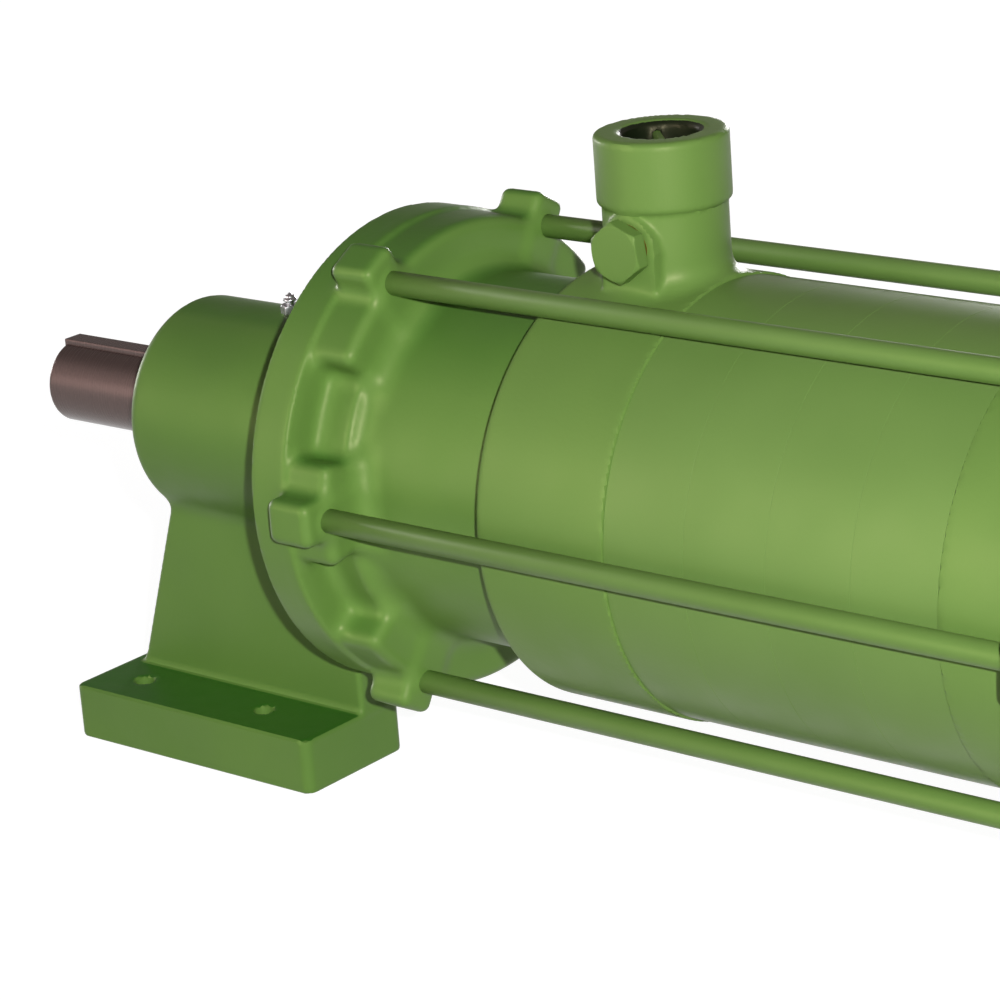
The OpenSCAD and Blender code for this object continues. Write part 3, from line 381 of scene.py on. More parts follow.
discharge = skin("discharge_casing_casting", discharge_field, (SEAM_1, -BARREL_R, -BARREL_R),
                 (SEAM_2, BARREL_R, PORT_TOP), 1.5)
print(discharge.name, len(discharge.data.polygons), "faces")

# %% [markdown]
# ## Suction casing
#
# The far end mirrors the drive end: lugs for the rod nuts, a bowl, a larger port with its own plug
# boss, and a pedestal on a foot plate with four bolt holes.

# %% Suction casing
def suction_field(p):
    f = ring(p, SEAM_3, LUG_FACE + 8, -BARREL_R, BARREL_R, 1.1)
    flange = ring(p, LUG_FACE, LUG_BACK, -97, 97, 3)
    flange = carve(flange, rod(sector(p, 0), (LUG_FACE - 40, 0, 110), (LUG_BACK + 40, 0, 110), 20, 4), 4)
    flange = rod_bosses(p, flange, LUG_FACE, LUG_BACK, 12, 3, 5)
    f = melt(f, flange, 5)
    f = melt(f, ring(p, LUG_BACK - 10, BOWL_END, -76, 76, 1.5), 12)
    sx = SUCTION_X
    box = block(p, (sx - 26, -37, -130), (sx + 26, 37, -52), 3)
    box = carve(box, block(p, (sx - 40, -27, -127), (sx - 7, 27, -40), 4), 3)
    box = carve(box, block(p, (sx + 7, -27, -127), (sx + 40, 27, -40), 4), 3)
    f = melt(f, box, 8)
    f = melt(f, block(p, (sx - 32, -70, -AXIS_HEIGHT), (sx + 32, 70, -127), 3), 8)
    f = port_form(p, f, sx, SUCTION_COLLAR, SUCTION_NECK, SUCTION_BORE)
    for sy in (-1, 1):
        for hx in (-1, 1):
            x, y = sx + 18 * hx, 56 * sy
            f = carve(f, rod(p, (x, y, -AXIS_HEIGHT - 5), (x, y, -120), FOOT_HOLE_R, 0.3), 0.8)
    room = rod(sector(p, FIRST_ROD), (LUG_BACK, 0, ROD_RING), (BOWL_END + 20, 0, ROD_RING), 11.5, 0.5)
    f = carve(f, room, 1)
    inside = ring(p, LUG_FACE - 20, BOWL_END - 10, -67, 67, 6)
    inside = np.minimum(inside, ring(p, SEAM_3 + 8, LUG_FACE + 2, -68, 68, 4))
    f = carve(f, np.minimum(inside, ring(p, SEAM_3 - 5, LUG_FACE, -39, 39, 0.5)))
    return carve(f, ring(p, BOWL_END - 20, BOWL_END + 5, -42, 42, 0.5))


suction = skin("suction_casing_casting", suction_field, (SEAM_3, -114, -AXIS_HEIGHT),
               (SUCTION_X + SUCTION_COLLAR, 114, PORT_TOP), 1.8)
print(suction.name, len(suction.data.polygons), "faces")

# %% [markdown]
# ## Turned pieces
#
# Stage casings, covers and the shaft come off a lathe. A closed outline of (x, radius) points is spun
# about the pump axis. Many steps around keep the barrel round in the long highlight along it.

# %% Turned pieces
def turned(name, profile, steps=192):
    """Mesh object from an outline of (x, radius) points spun about the pump axis."""
    profile = np.array(profile, dtype=float)
    angles = np.linspace(0, 2 * math.pi, steps, endpoint=False)
    count = len(profile)
    points = []
    for a in angles:
        for x, r in profile:
            points.append((x, -r * math.sin(a), r * math.cos(a)))
    faces = []
    for i in range(steps):
        n = (i + 1) % steps
        for j in range(count):
            m = (j + 1) % count
            if profile[j][1] == 0 and profile[m][1] == 0:
                continue
            faces.append((i * count + j, i * count + m, n * count + m, n * count + j))
    return closed(solid(name, to_row(points), faces))


def closed(obj, sharp=30):
    """Merges doubles, closes poles and turns every face outwards."""
    bm = bmesh.new()
    bm.from_mesh(obj.data)
    bmesh.ops.remove_doubles(bm, verts=bm.verts, dist=1e-6)
    bmesh.ops.dissolve_degenerate(bm, edges=bm.edges, dist=1e-7)
    bmesh.ops.recalc_face_normals(bm, faces=bm.faces)
    bm.to_mesh(obj.data)
    bm.free()
    obj.data.polygons.foreach_set("use_smooth", [True] * len(obj.data.polygons))
    obj.data.set_sharp_from_angle(angle=math.radians(sharp))
    return obj


def eased(corners, soft, arc=3):
    """Outline with its convex and concave corners rounded by soft, or by a value of their own."""
    out = []
    n = len(corners)
    for i in range(n):
        p = np.array(corners[i][:2], dtype=float)
        r = corners[i][2] if len(corners[i]) > 2 else soft
        if r == 0 or p[1] == 0:
            out.append(tuple(p))
            continue
        a = np.array(corners[i - 1][:2], dtype=float) - p
        b = np.array(corners[(i + 1) % n][:2], dtype=float) - p
        la, lb = np.linalg.norm(a), np.linalg.norm(b)
        a, b = a / la, b / lb
        cut = min(r, la * 0.3, lb * 0.3)
        out.append(tuple(p + a * cut * 1.5))
        for k in range(arc + 1):
            t = k / arc
            out.append(tuple(p + a * cut * (1 - t) ** 2 + b * cut * t ** 2))
        out.append(tuple(p + b * cut * 1.5))
    return out


stages = []
for k in range(4):
    x0 = SEAM_2 + k * STAGE_PITCH
    x1 = x0 + STAGE_PITCH
    shape = [(x0, 81, 0.3), (x0, STAGE_R), (x1, STAGE_R), (x1, 33, 0.3), (x1 - 4, 33, 0.3), (x1 - 4, 81, 1)]
    stages.append(turned("stage_casing_%d_turned" % (k + 1), eased(shape, 0.25)))
cover = turned("rear_end_cover_turned", eased([
    (BOWL_END, 18.1, 0.3), (BOWL_END, 64), (BOWL_END + 12, 64, 2), (BOWL_END + 12, 32, 4),
    (REAR_END, 32, 5), (REAR_END, 0), (REAR_END - 7, 0), (REAR_END - 7, 18.1, 0.3)], 0.6, 5), 128)
housing_cover = turned("drive_end_cover_turned", eased([
    (-113, 27.6, 0.2), (-113, 39.9, 0.3), (-122, 39.9, 1), (-122, 22, 0.8), (-120.8, 22, 0.3),
    (-120.8, 27.6, 0.3)], 0.4), 128)
print("turned", len(stages), "stage casings and two covers")

# %% [markdown]
# ## Shaft end and key
#
# The shaft sticks out of the housing, ground round and open at its keyway. The key fills the way to the
# tip. The keyway is cut by a distance field, because its floor and ends have small radii.

# %% Shaft and key
KEYWAY_FLOOR = 14.0
KEY_TOP = 20.6
KEY_END = -130.0


def shaft_field(p):
    f = ring(p, SHAFT_TIP, -128, -SHAFT_R, SHAFT_R, 1.2)
    f = np.maximum(f, (np.hypot(p[1], p[2]) - (p[0] - SHAFT_TIP) - SHAFT_R + 2) / 1.414)
    f = np.minimum(f, ring(p, -129, -95, -19.98, 19.98, 0.6))
    f = carve(f, block(p, (SHAFT_TIP - 9, -5, KEYWAY_FLOOR), (KEY_END, 5, 40), 0.3))
    cone = np.hypot(p[1], p[2]) - (5 - 0.5 * (p[0] - SHAFT_TIP))
    f = carve(f, np.maximum(cone, p[0] - SHAFT_TIP - 7))
    return carve(f, ring(p, SHAFT_TIP - 5, SHAFT_TIP + 21, -2.5, 2.5, 0.2))


shaft = skin("shaft_end", shaft_field, (SHAFT_TIP, -20, -20), (-95, 20, 20), 0.75)


def key_field(p):
    return block(p, (SHAFT_TIP + 0.2, -4.98, KEYWAY_FLOOR), (KEY_END - 0.2, 4.98, KEY_TOP), 0.5)


key = skin("coupling_key_bar", key_field, (SHAFT_TIP, -5, KEYWAY_FLOOR), (KEY_END, 5, KEY_TOP), 0.6)
rear_shaft = turned("shaft_inside", eased([
    (-95, 0), (-95, 22.9), (-85, 22.9, 0.8), (-83, 18), (-22, 18), (-20, 15.98), (104, 15.98, 0.4),
    (104, 13.98, 0.4), (BOWL_END - 6, 13.98), (BOWL_END - 6, 12, 0.4), (BOWL_END + 22, 12),
    (BOWL_END + 22, 0)], 0.5), 96)
print(shaft.name, len(shaft.data.polygons), "faces,", key.name, len(key.data.polygons), "faces")

# %% [markdown]
# ## Fasteners
#
# Rods, washers, nuts and screws repeat around the axis. One of each is made, then a small Geometry
# Nodes tree puts copies on a circle. A hexagon head gets its chamfer from the cone that cuts its
# corners, as on the real bar stock.

# %% One screw head, nut or plug
CONE_SLOPE = 1.7
CONE_LENGTH = 1.97


def hexagon(name, low, length, flats, bore=0.0, shank=0.0, shank_length=0.0, both_ends=False):
    """Hexagon along x, its far corners cut by a cone; a shank grows from its low end."""
    half = flats / 2

    def field(p):
        f = np.full(np.broadcast(p[0], p[1]).shape, -1e9)
        for k in range(3):
            a = math.radians(60 * k)
            f = np.maximum(f, np.abs(p[1] * math.cos(a) + p[2] * math.sin(a)) - half)
        f = melt(f, f, 0.5) + 0.12
        r = np.hypot(p[1], p[2])
        f = np.maximum(f, np.abs(p[0] - low - length / 2) - length / 2)
        f = np.maximum(f, (r - half + (p[0] - low - length) * CONE_SLOPE) / CONE_LENGTH)
        if both_ends:
            f = np.maximum(f, (r - half - (p[0] - low) * CONE_SLOPE) / CONE_LENGTH)
        if bore:
            f = np.maximum(f, bore - r)
        if shank:
            f = np.minimum(f, ring(p, low - shank_length, low + 1, -shank, shank, 0.4))
        return f

    reach = flats / math.sqrt(3)
    start = low - shank_length
    return skin(name, field, (start, -reach, -reach), (low + length, reach, reach), 0.5, 30)


print("hexagon function ready")

# %% [markdown]
# One small function adds any node with its settings and inputs. The tree below takes one piece that
# lies on the axis of its circle, and the count, radius and first angle as named inputs. It ends in
# Realize Instances and Set Material, so that the result is plain mesh.

# %% One function for all nodes
MATHS = "ShaderNodeMath"
VECTOR = "ShaderNodeVectorMath"
SPLIT = "ShaderNodeSeparateXYZ"
JOIN = "ShaderNodeCombineXYZ"
MAP = "ShaderNodeMapRange"
MIX = "ShaderNodeMix"
NOISE = "ShaderNodeTexNoise"
BUMP = "ShaderNodeBump"


def node(tree, kind, inputs=None, **settings):
    """Adds a node; an input takes a constant, an output, or a node for the first output of it."""
    n = tree.nodes.new(kind)
    for key, value in settings.items():
        setattr(n, key, value)
    for key, value in (inputs or {}).items():
        if isinstance(value, bpy.types.Node):
            value = value.outputs[0]
        if isinstance(value, bpy.types.NodeSocket):
            tree.links.new(value, n.inputs[key])
        else:
            n.inputs[key].default_value = value
    return n


print("node function ready")


# %% Copies on a circle
def ring_tree(name, material):
    """Geometry Nodes tree: copies of an object on a circle about the pump axis."""
    tree = bpy.data.node_groups.new(name, "GeometryNodeTree")
    ids = {}
    for label, kind in (("Piece", "NodeSocketObject"), ("Count", "NodeSocketInt"),
                        ("Radius", "NodeSocketFloat"), ("First angle", "NodeSocketFloat")):
        ids[label] = tree.interface.new_socket(label, in_out="INPUT", socket_type=kind).identifier
    tree.interface.new_socket("Geometry", in_out="OUTPUT", socket_type="NodeSocketGeometry")
    given = node(tree, "NodeGroupInput").outputs
    share = node(tree, MATHS, {0: node(tree, "GeometryNodeInputIndex"), 1: given["Count"]}, operation="DIVIDE")
    turn = node(tree, MATHS, {0: share, 1: 2 * math.pi, 2: given["First angle"]}, operation="MULTIPLY_ADD")
    sine = node(tree, MATHS, {0: turn}, operation="SINE")
    cosine = node(tree, MATHS, {0: turn}, operation="COSINE")
    across = node(tree, MATHS, {0: sine, 1: given["Radius"]}, operation="MULTIPLY")
    flip = node(tree, MATHS, {0: across, 1: -1.0}, operation="MULTIPLY")
    up = node(tree, MATHS, {0: cosine, 1: given["Radius"]}, operation="MULTIPLY")
    axis = (-MID_X / 1000, 0, AXIS_HEIGHT / 1000)
    lift = node(tree, VECTOR, {0: node(tree, JOIN, {"Y": flip, "Z": up}), 1: axis}, operation="ADD")
    spots = node(tree, "GeometryNodePoints", {"Count": given["Count"]})
    moved = node(tree, "GeometryNodeSetPosition", {"Geometry": spots, "Position": lift})
    piece = node(tree, "GeometryNodeObjectInfo", {"Object": given["Piece"]}).outputs["Geometry"]
    spin = node(tree, JOIN, {"X": turn})
    copies = node(tree, "GeometryNodeInstanceOnPoints", {"Points": moved, "Instance": piece, "Rotation": spin})
    real = node(tree, "GeometryNodeRealizeInstances", {0: copies})
    paint = node(tree, "GeometryNodeSetMaterial", {"Geometry": real, "Material": material})
    node(tree, "NodeGroupOutput", {0: paint})
    return tree, ids


def shift(obj, x, y, z):
    """Moves a mesh by millimetres."""
    obj.data.transform(Matrix.Translation((x / 1000, y / 1000, z / 1000)))


def on_circle(name, piece, count, radius, first, material):
    """Plain mesh of count copies of piece, which was made on the pump axis, on a circle."""
    shift(piece, MID_X, 0, -AXIS_HEIGHT)
    tree, ids = ring_tree(name + "_tree", material)
    holder = bpy.data.objects.new(name, bpy.data.meshes.new(name))
    scene.collection.objects.link(holder)
    mod = holder.modifiers.new("copies", "NODES")
    mod.node_group = tree
    mod[ids["Piece"]] = piece
    mod[ids["Count"]] = count
    mod[ids["Radius"]] = radius / 1000
    mod[ids["First angle"]] = math.radians(first)
    depsgraph = bpy.context.evaluated_depsgraph_get()
    mesh = bpy.data.meshes.new_from_object(holder.evaluated_get(depsgraph), depsgraph=depsgraph)
    holder.modifiers.remove(mod)
    holder.data = mesh
    bpy.data.objects.remove(piece)
    return holder


print("fastener helpers ready")

# %% [markdown]
# ## Finishes
#
# Colours are written as hex values, as a picker would show them, and one function turns them to the
# linear values that the shader wants. Noise scales come from real sizes in millimetres.

# %% Helpers for colours and finishes
def linear(code):
    """Hex sRGB colour to linear RGBA."""
    out = []
    for i in (0, 2, 4):
        v = int(code[i:i + 2], 16) / 255
        out.append(v / 12.92 if v <= 0.04045 else ((v + 0.055) / 1.055) ** 2.4)
    return (*out, 1.0)


def per_mm(size):
    """Noise scale at which one feature is about size millimetres wide, in metres of object space."""
    return 1000.0 / size


def finish(name, values):
    """New material with its Principled node, which holds the values given, and its object coordinates."""
    m = bpy.data.materials.new(name)
    m.use_nodes = True
    tree = m.node_tree
    shader = tree.nodes["Principled BSDF"]
    for key, value in values.items():
        shader.inputs[key].default_value = value
    where = node(tree, "ShaderNodeTexCoord").outputs["Object"]
    return m, tree, shader, where


print("finish helpers ready")

# %% [markdown]
# ### Green enamel
#
# The pump is sprayed with one coat of semi-gloss green machine enamel over cast iron. The spray lies
# uneven, so the tone drifts slowly over 70 mm. In the photo the upper faces of the foot and of the tie
# flange are clearly darker than the sides, which the light alone doesn't give, so faces that look up
# take a darker green there: painted shade, not a colour of the paint. The port bores are bare iron, and
# their near-black colour also paints the shade inside them. Under the paint the sand-cast skin shows
# as a very soft ripple, and the paint itself has a fine orange peel that breaks up a highlight. Its
# reflections are weaker and a little warmer than the default, as in the photo.

# %% Green enamel
REFLECTION_TINT = "FFF4C8"
# Painted shade: the darker green that faces looking up take on the foot and the tie flange.
PAINTED_TOP_SHADE = "316A1D"
# Bare iron with painted shade: the near-black colour of the port bores.
BORE_IRON_AND_SHADE = "10190C"
BORE_FROM = 0.205
PEEL = 0.03


def port_wall(tree, where, x, bore):
    """Node that gives one on the wall of a port bore and its chamfer, else zero."""
    off = node(tree, VECTOR, {0: where, 1: ((x - MID_X) / 1000, 0, 0)}, operation="SUBTRACT")
    flat = node(tree, VECTOR, {0: off, 1: (1, 1, 0)}, operation="MULTIPLY")
    away = node(tree, VECTOR, {0: flat}, operation="LENGTH").outputs["Value"]
    inside = node(tree, MATHS, {0: away, 1: (bore + 0.2) / 1000, 2: 0.0014}, operation="COMPARE")
    height = node(tree, SPLIT, {0: where}).outputs["Z"]
    high = node(tree, MAP, {"Value": height, "From Min": BORE_FROM, "From Max": BORE_FROM + 0.001})
    return node(tree, MATHS, {0: inside, 1: high}, operation="MULTIPLY")


def enamel(name, base, shade, ripple, gloss, upper=0.0, level=0.6, above=1.0, ports=()):
    """Sprayed semi-gloss enamel over cast iron.

    upper is the share of painted shade, a darker green, on faces that look up, level the slope where it
    starts, and above what is left of it more than 60 mm over the floor. ports lists the port bores, whose
    near-black colour stands for bare iron and paints the shade inside them.
    """
    m, tree, shader, where = finish(name, {
        "Roughness": gloss, "Specular IOR Level": 0.3, "Specular Tint": linear(REFLECTION_TINT)})
    drift = node(tree, NOISE, {"Vector": where, "Scale": per_mm(70), "Detail": 2.0})
    share = node(tree, MAP, {"Value": drift, "From Min": 0.35, "From Max": 0.65})
    tone = node(tree, MIX, {"Factor": share, "A": linear(base), "B": linear(shade)}, data_type="RGBA")
    # Painted shade: faces that look up turn a darker green, by the share upper.
    facing = node(tree, SPLIT, {0: node(tree, "ShaderNodeNewGeometry").outputs["Normal"]}).outputs["Z"]
    top_shade_share = node(tree, MAP, {"Value": facing, "From Min": level, "From Max": 0.97, "To Max": upper})
    height = node(tree, SPLIT, {0: where}).outputs["Z"]
    low = node(tree, MAP, {"Value": height, "From Min": 0.03, "From Max": 0.06, "To Min": 1.0, "To Max": above})
    masks = [(node(tree, MATHS, {0: top_shade_share, 1: low}, operation="MULTIPLY"), PAINTED_TOP_SHADE)]
    # Bare iron and painted shade: the port bores turn near-black.
    masks += [(port_wall(tree, where, x, bore), BORE_IRON_AND_SHADE) for x, bore in ports]
    for mask, colour in masks:
        tone = node(tree, MIX, {"Factor": mask, "A": tone.outputs["Result"], "B": linear(colour)},
                    data_type="RGBA")
    tree.links.new(tone.outputs["Result"], shader.inputs["Base Color"])
    cloud = node(tree, NOISE, {"Vector": where, "Scale": per_mm(25), "Detail": 3.0})
    sheen = node(tree, MAP, {"Value": cloud, "From Min": 0.3, "From Max": 0.7, "To Min": gloss - 0.05,
                             "To Max": gloss + 0.07})
    tree.links.new(sheen.outputs[0], shader.inputs["Roughness"])
    sand = node(tree, NOISE, {"Vector": where, "Scale": per_mm(9), "Detail": 3.0, "Roughness": 0.6})
    rough = node(tree, BUMP, {"Height": sand, "Strength": 1.0, "Distance": ripple / 1000})
    peel = node(tree, NOISE, {"Vector": where, "Scale": per_mm(1.6), "Detail": 1.0})
    fine = node(tree, BUMP, {"Height": peel, "Strength": 1.0, "Distance": PEEL / 1000, "Normal": rough})
    tree.links.new(fine.outputs[0], shader.inputs["Normal"])
    return m


# The bracket and the flange take painted shade on the faces that look up.
bracket_paint = enamel("green_enamel_on_sand_cast_bracket", "658A3E", "5F843B", 0.10, 0.44,
                       upper=0.95, level=0.93, above=0.4)
flange_paint = enamel("green_enamel_on_sand_cast_flange", "6B8F43", "65893F", 0.10, 0.44, upper=0.5)
# The casings' port bores take the near-black of bare iron and painted shade.
casing_paint = enamel("green_enamel_on_sand_cast_casings", "6E8F46", "698A43", 0.08, 0.44,
                      ports=((PORT_X, PORT_BORE), (SUCTION_X, SUCTION_BORE)))
turned_paint = enamel("green_enamel_on_turned_iron", "70904A", "6B8B46", 0.03, 0.42)
steel_paint = enamel("green_enamel_on_steel_fasteners", "6D8E47", "688942", 0.03, 0.44)
print("five enamels, from", bracket_paint.name, "to", steel_paint.name)

# %% [markdown]
# ### Metals, rubber and bronze
#
# The shaft end wears a brown protective lacquer over fine grinding marks that run around it. Nuts and
# washers are zinc plated. Bearing rings and balls are ground and polished, seals are rubber, and the
# impellers and wear rings inside are cast bronze.

# %% Metals, rubber and bronze
def toned(m, tree, shader, pattern, light, dark, gloss, depth):
    """Lets a pattern drive the colour, the roughness and a bump of depth millimetres."""
    share = node(tree, MAP, {"Value": pattern, "From Min": 0.35, "From Max": 0.65})
    tone = node(tree, MIX, {"Factor": share, "A": linear(light), "B": linear(dark)}, data_type="RGBA")
    sheen = node(tree, MAP, {"Value": pattern, "From Min": gloss[0], "From Max": gloss[1], "To Min": gloss[2],
                             "To Max": gloss[3]})
    bump = node(tree, BUMP, {"Height": pattern, "Strength": 1.0, "Distance": depth / 1000})
    tree.links.new(tone.outputs["Result"], shader.inputs["Base Color"])
    tree.links.new(sheen.outputs[0], shader.inputs["Roughness"])
    tree.links.new(bump.outputs[0], shader.inputs["Normal"])
    return m


def grained(name, light, dark, rough, size, depth, metallic=0.0):
    """Surface with an uneven tone and a fine grain, such as zinc, rubber, iron or cast bronze."""
    m, tree, shader, where = finish(name, {"Metallic": metallic, "Roughness": rough})
    grain = node(tree, NOISE, {"Vector": where, "Scale": per_mm(size), "Detail": 4.0, "Roughness": 0.6})
    return toned(m, tree, shader, grain, light, dark, (0.3, 0.7, rough - 0.07, rough + 0.07), depth)


def turned_metal(name, light, dark, rough, size, depth, metallic=1.0):
    """Metal with marks of turning or grinding around the axis, each about size millimetres wide."""
    m, tree, shader, where = finish(name, {"Metallic": metallic, "Roughness": rough})
    around = node(tree, "ShaderNodeMapping", {"Vector": where, "Scale": (per_mm(size), 6.0, 6.0)})
    marks = node(tree, NOISE, {"Vector": around, "Scale": 1.0, "Detail": 3.0, "Roughness": 0.7})
    return toned(m, tree, shader, marks, light, dark, (0.2, 0.8, rough - 0.03, rough + 0.04), depth)


lacquer = turned_metal("ground_steel_under_brown_lacquer", "61504C", "5A4A46", 0.26, 0.5, 0.0006, 0.5)
ground = turned_metal("ground_bearing_steel", "C9C8C6", "AEADAB", 0.22, 0.6, 0.004)
zinc = grained("zinc_plated_steel", "BDBFC1", "A2A5A8", 0.34, 3.0, 0.01, 1.0)
rubber = grained("black_nitrile_rubber", "1E1E1F", "2A2A2B", 0.62, 1.2, 0.02)
iron = grained("machined_grey_iron", "7C7D7E", "66676A", 0.45, 2.0, 0.03, 0.8)
bronze = grained("cast_bronze", "A57A42", "8A6433", 0.4, 4.0, 0.06, 1.0)
print("metals:", lacquer.name, ground.name, zinc.name, rubber.name, iron.name, bronze.name)

# %% [markdown]
# ## Dressing the fasteners
#
# Now the pieces meet their finishes. The rods are plain bar with a rolled thread at the nut end, which
# is drawn as a true helix, because it shows beyond each nut.

# %% Tie rods with their nuts and washers
THREAD_DEPTH = 0.9
WASHER = 2.0
NUT = 8.0
ROD_END = LUG_BACK + WASHER + NUT + 5


def threaded_bar(name, x0, x1, thread_from, radius, pitch, steps=40):
    """Bar on the pump axis with a helical thread from one station to its end."""
    plain = [(x0, radius - 0.7), (x0 + 0.7, radius), (thread_from - 0.01, radius)]
    count = int((x1 - thread_from) / (pitch / 6))
    stations = [s for s, _ in plain] + list(np.linspace(thread_from, x1, count + 1))
    points = [(x0, 0, 0)]
    for i, s in enumerate(stations):
        for j in range(steps):
            a = 2 * math.pi * j / steps
            if i < len(plain):
                r = plain[i][1]
            else:
                wave = (s / pitch - j / steps) % 1.0
                core = radius - THREAD_DEPTH
                r = min(radius - THREAD_DEPTH * abs(2 * wave - 1), core + 1.2 * max(x1 - s, 0.0))
            points.append((s, -r * math.sin(a), r * math.cos(a)))
    points.append((x1, 0, 0))
    faces = [(0, 1 + (j + 1) % steps, 1 + j) for j in range(steps)]
    for i in range(len(stations) - 1):
        for j in range(steps):
            n = (j + 1) % steps
            a, b = 1 + i * steps, 1 + (i + 1) * steps
            faces.append((a + j, a + n, b + n, b + j))
    a = 1 + (len(stations) - 1) * steps
    faces += [(len(points) - 1, a + j, a + (j + 1) % steps) for j in range(steps)]
    return closed(solid(name, to_row(points), faces), 50)


bar = threaded_bar("one_rod", 22.2, ROD_END, LUG_BACK - 3, ROD_R, 1.5)
rods = on_circle("tie_rods_bars", bar, RODS, ROD_RING, FIRST_ROD, steel_paint)
washer = turned("one_washer", eased([
    (LUG_BACK, 5.3), (LUG_BACK, 10), (LUG_BACK + WASHER, 10), (LUG_BACK + WASHER, 5.3)], 0.4), 48)
washers = on_circle("rod_washers_rings", washer, RODS, ROD_RING, FIRST_ROD, zinc)
nut = hexagon("one_nut", LUG_BACK + WASHER, NUT, 17, bore=5.02, both_ends=True)
nuts = on_circle("rod_nuts_hexagons", nut, RODS, ROD_RING, FIRST_ROD, zinc)
print(rods.name, len(rods.data.polygons), nuts.name, len(nuts.data.polygons), "faces")

# %% Screws of the bracket and of the rear cover, and the gauge plugs
PLUG_TURN = 8.0


def cap_screw(name, head_start, head, flats, shank, shank_length, toward):
    """Hexagon screw; toward is +1 where the head points to high x, -1 where it points to low x."""
    screw = hexagon(name, 0, head, flats, shank=shank, shank_length=shank_length)
    shift(screw, MID_X, 0, -AXIS_HEIGHT)
    if toward < 0:
        screw.data.transform(Matrix.Rotation(math.pi, 4, "Z"))
    shift(screw, head_start - MID_X, 0, AXIS_HEIGHT)
    return screw


def port_plug(name, x, out):
    """Gauge plug screwed into the boss of a port, its head facing the front."""
    plug = hexagon(name, 0, 6.5, 22, shank=8, shank_length=11)
    shift(plug, MID_X, 0, -AXIS_HEIGHT)
    plug.data.transform(Matrix.Rotation(math.radians(PLUG_TURN), 4, "X"))
    plug.data.transform(Matrix.Rotation(-math.pi / 2, 4, "Z"))
    shift(plug, x - MID_X, -(out + 1.5), AXIS_HEIGHT + PLUG_Z)
    return plug


screw = cap_screw("one_bracket_screw", -12.5, 7, 17, 5, 23, -1)
bracket_screws = on_circle("bracket_screws_hexagons", screw, 4, 68, 45, steel_paint)
screw = cap_screw("one_cover_screw", BOWL_END + 12, 5.5, 13, 4, 23.5, 1)
cover_screws = on_circle("rear_cover_screws_hexagons", screw, 6, 52, FIRST_ROD, steel_paint)
gauge_plug = port_plug("discharge_plug_hexagon", PORT_X, PLUG_OUT)
suction_plug = port_plug("suction_plug_hexagon", SUCTION_X, PLUG_OUT + SUCTION_NECK - PORT_NECK)
print("screws and plugs made")

# %% [markdown]
# ## Grease nipple
#
# A straight nipple: a small hexagon, a waist and a button head with a rounded tip. It stands on a spot
# face on top of the bearing housing, close to the tie flange.

# %% Grease nipple
NIPPLE_X = -66.0


def nipple_field(p):
    x, y, z = p[0] - NIPPLE_X, p[1], p[2]
    r = np.hypot(x, y)
    hexa = np.full(np.broadcast(x, z).shape, -1e9)
    for k in range(3):
        a = math.radians(60 * k + 12)
        hexa = np.maximum(hexa, np.abs(x * math.cos(a) + y * math.sin(a)) - 3.9)
    hexa = np.maximum(hexa, np.abs(z - 50.4) - 2.2)
    hexa = np.maximum(hexa, (r - 4.2 + (z - 52.2)) / 1.42)
    f = np.minimum(hexa, outline(r - 2.1, np.abs(z - 54) - 2.5, 0.2))
    f = np.minimum(f, outline(r - 3.0, np.abs(z - 43.5) - 5.5, 0.3))
    head = np.maximum(r - 3.1, np.abs(z - 57.2) - 3.0)
    head = np.maximum(head, (r - 2.2 + z - 55.8) / 1.41)
    head = np.maximum(head, (r - 1.9 + (z - 57.9) * 0.9) / 1.35)
    return melt(f, head, 0.4)


nipple = skin("grease_nipple_fitting", nipple_field, (NIPPLE_X - 5, -5, 38), (NIPPLE_X + 5, 5, 60.4), 0.35, 34)
print(nipple.name, len(nipple.data.polygons), "faces")

# %% [markdown]
# ## Every piece gets its finish
#
# New pieces stand for the CAD nodes that they replace. Everything else in the frame keeps its mesh and
# only gets a finish by the material slot of the record.

# %% Finishes, replaced nodes and bodies
def dress(obj, material, replaced, body="casing"):
    """Gives a piece its finish in a material slot and the body it moves with, and hides the nodes it stands
    for.
    """
    obj.data.materials.clear()
    obj.data.materials.append(material)
    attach(obj, body)
    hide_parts(*replaced)


dress(tie_flange, flange_paint, ["tie_flange"])
dress(bracket, bracket_paint, ["bearing_bracket"])
dress(discharge, casing_paint, ["discharge_casing"])
dress(suction, casing_paint, ["suction_casing"])
for k, piece in enumerate(stages):
    dress(piece, turned_paint, ["stage_casing_%d" % (k + 1)])
dress(cover, turned_paint, ["rear_end_cover"])
dress(housing_cover, turned_paint, ["drive_end_cover"])
dress(rods, steel_paint, ["tie_rods"])
dress(washers, zinc, ["rod_washers"])
dress(nuts, zinc, ["rod_nuts"])
dress(bracket_screws, steel_paint, ["bracket_screws"])
dress(cover_screws, steel_paint, ["rear_cover_screws"])
dress(gauge_plug, steel_paint, ["discharge_plug"])
dress(suction_plug, steel_paint, ["suction_plug"])
dress(nipple, zinc, ["grease_nipple"])
dress(shaft, lacquer, ["drive_shaft"], "rotor")
dress(rear_shaft, ground, [], "rotor")
dress(key, lacquer, ["coupling_key"], "rotor")

by_slot = {"green_paint": steel_paint, "bright_steel": ground, "zinc_steel": zinc, "lacquered_steel": lacquer,
           "black_rubber": rubber, "grey_iron": iron, "bronze": bronze}
slots = {part["node"]: part["material_slot"] for part in frame["record"]["subparts"]}
for name, obj in nodes.items():
    obj.data.materials.clear()
    obj.data.materials.append(by_slot[slots[name]])
print("finished", len(nodes), "nodes")

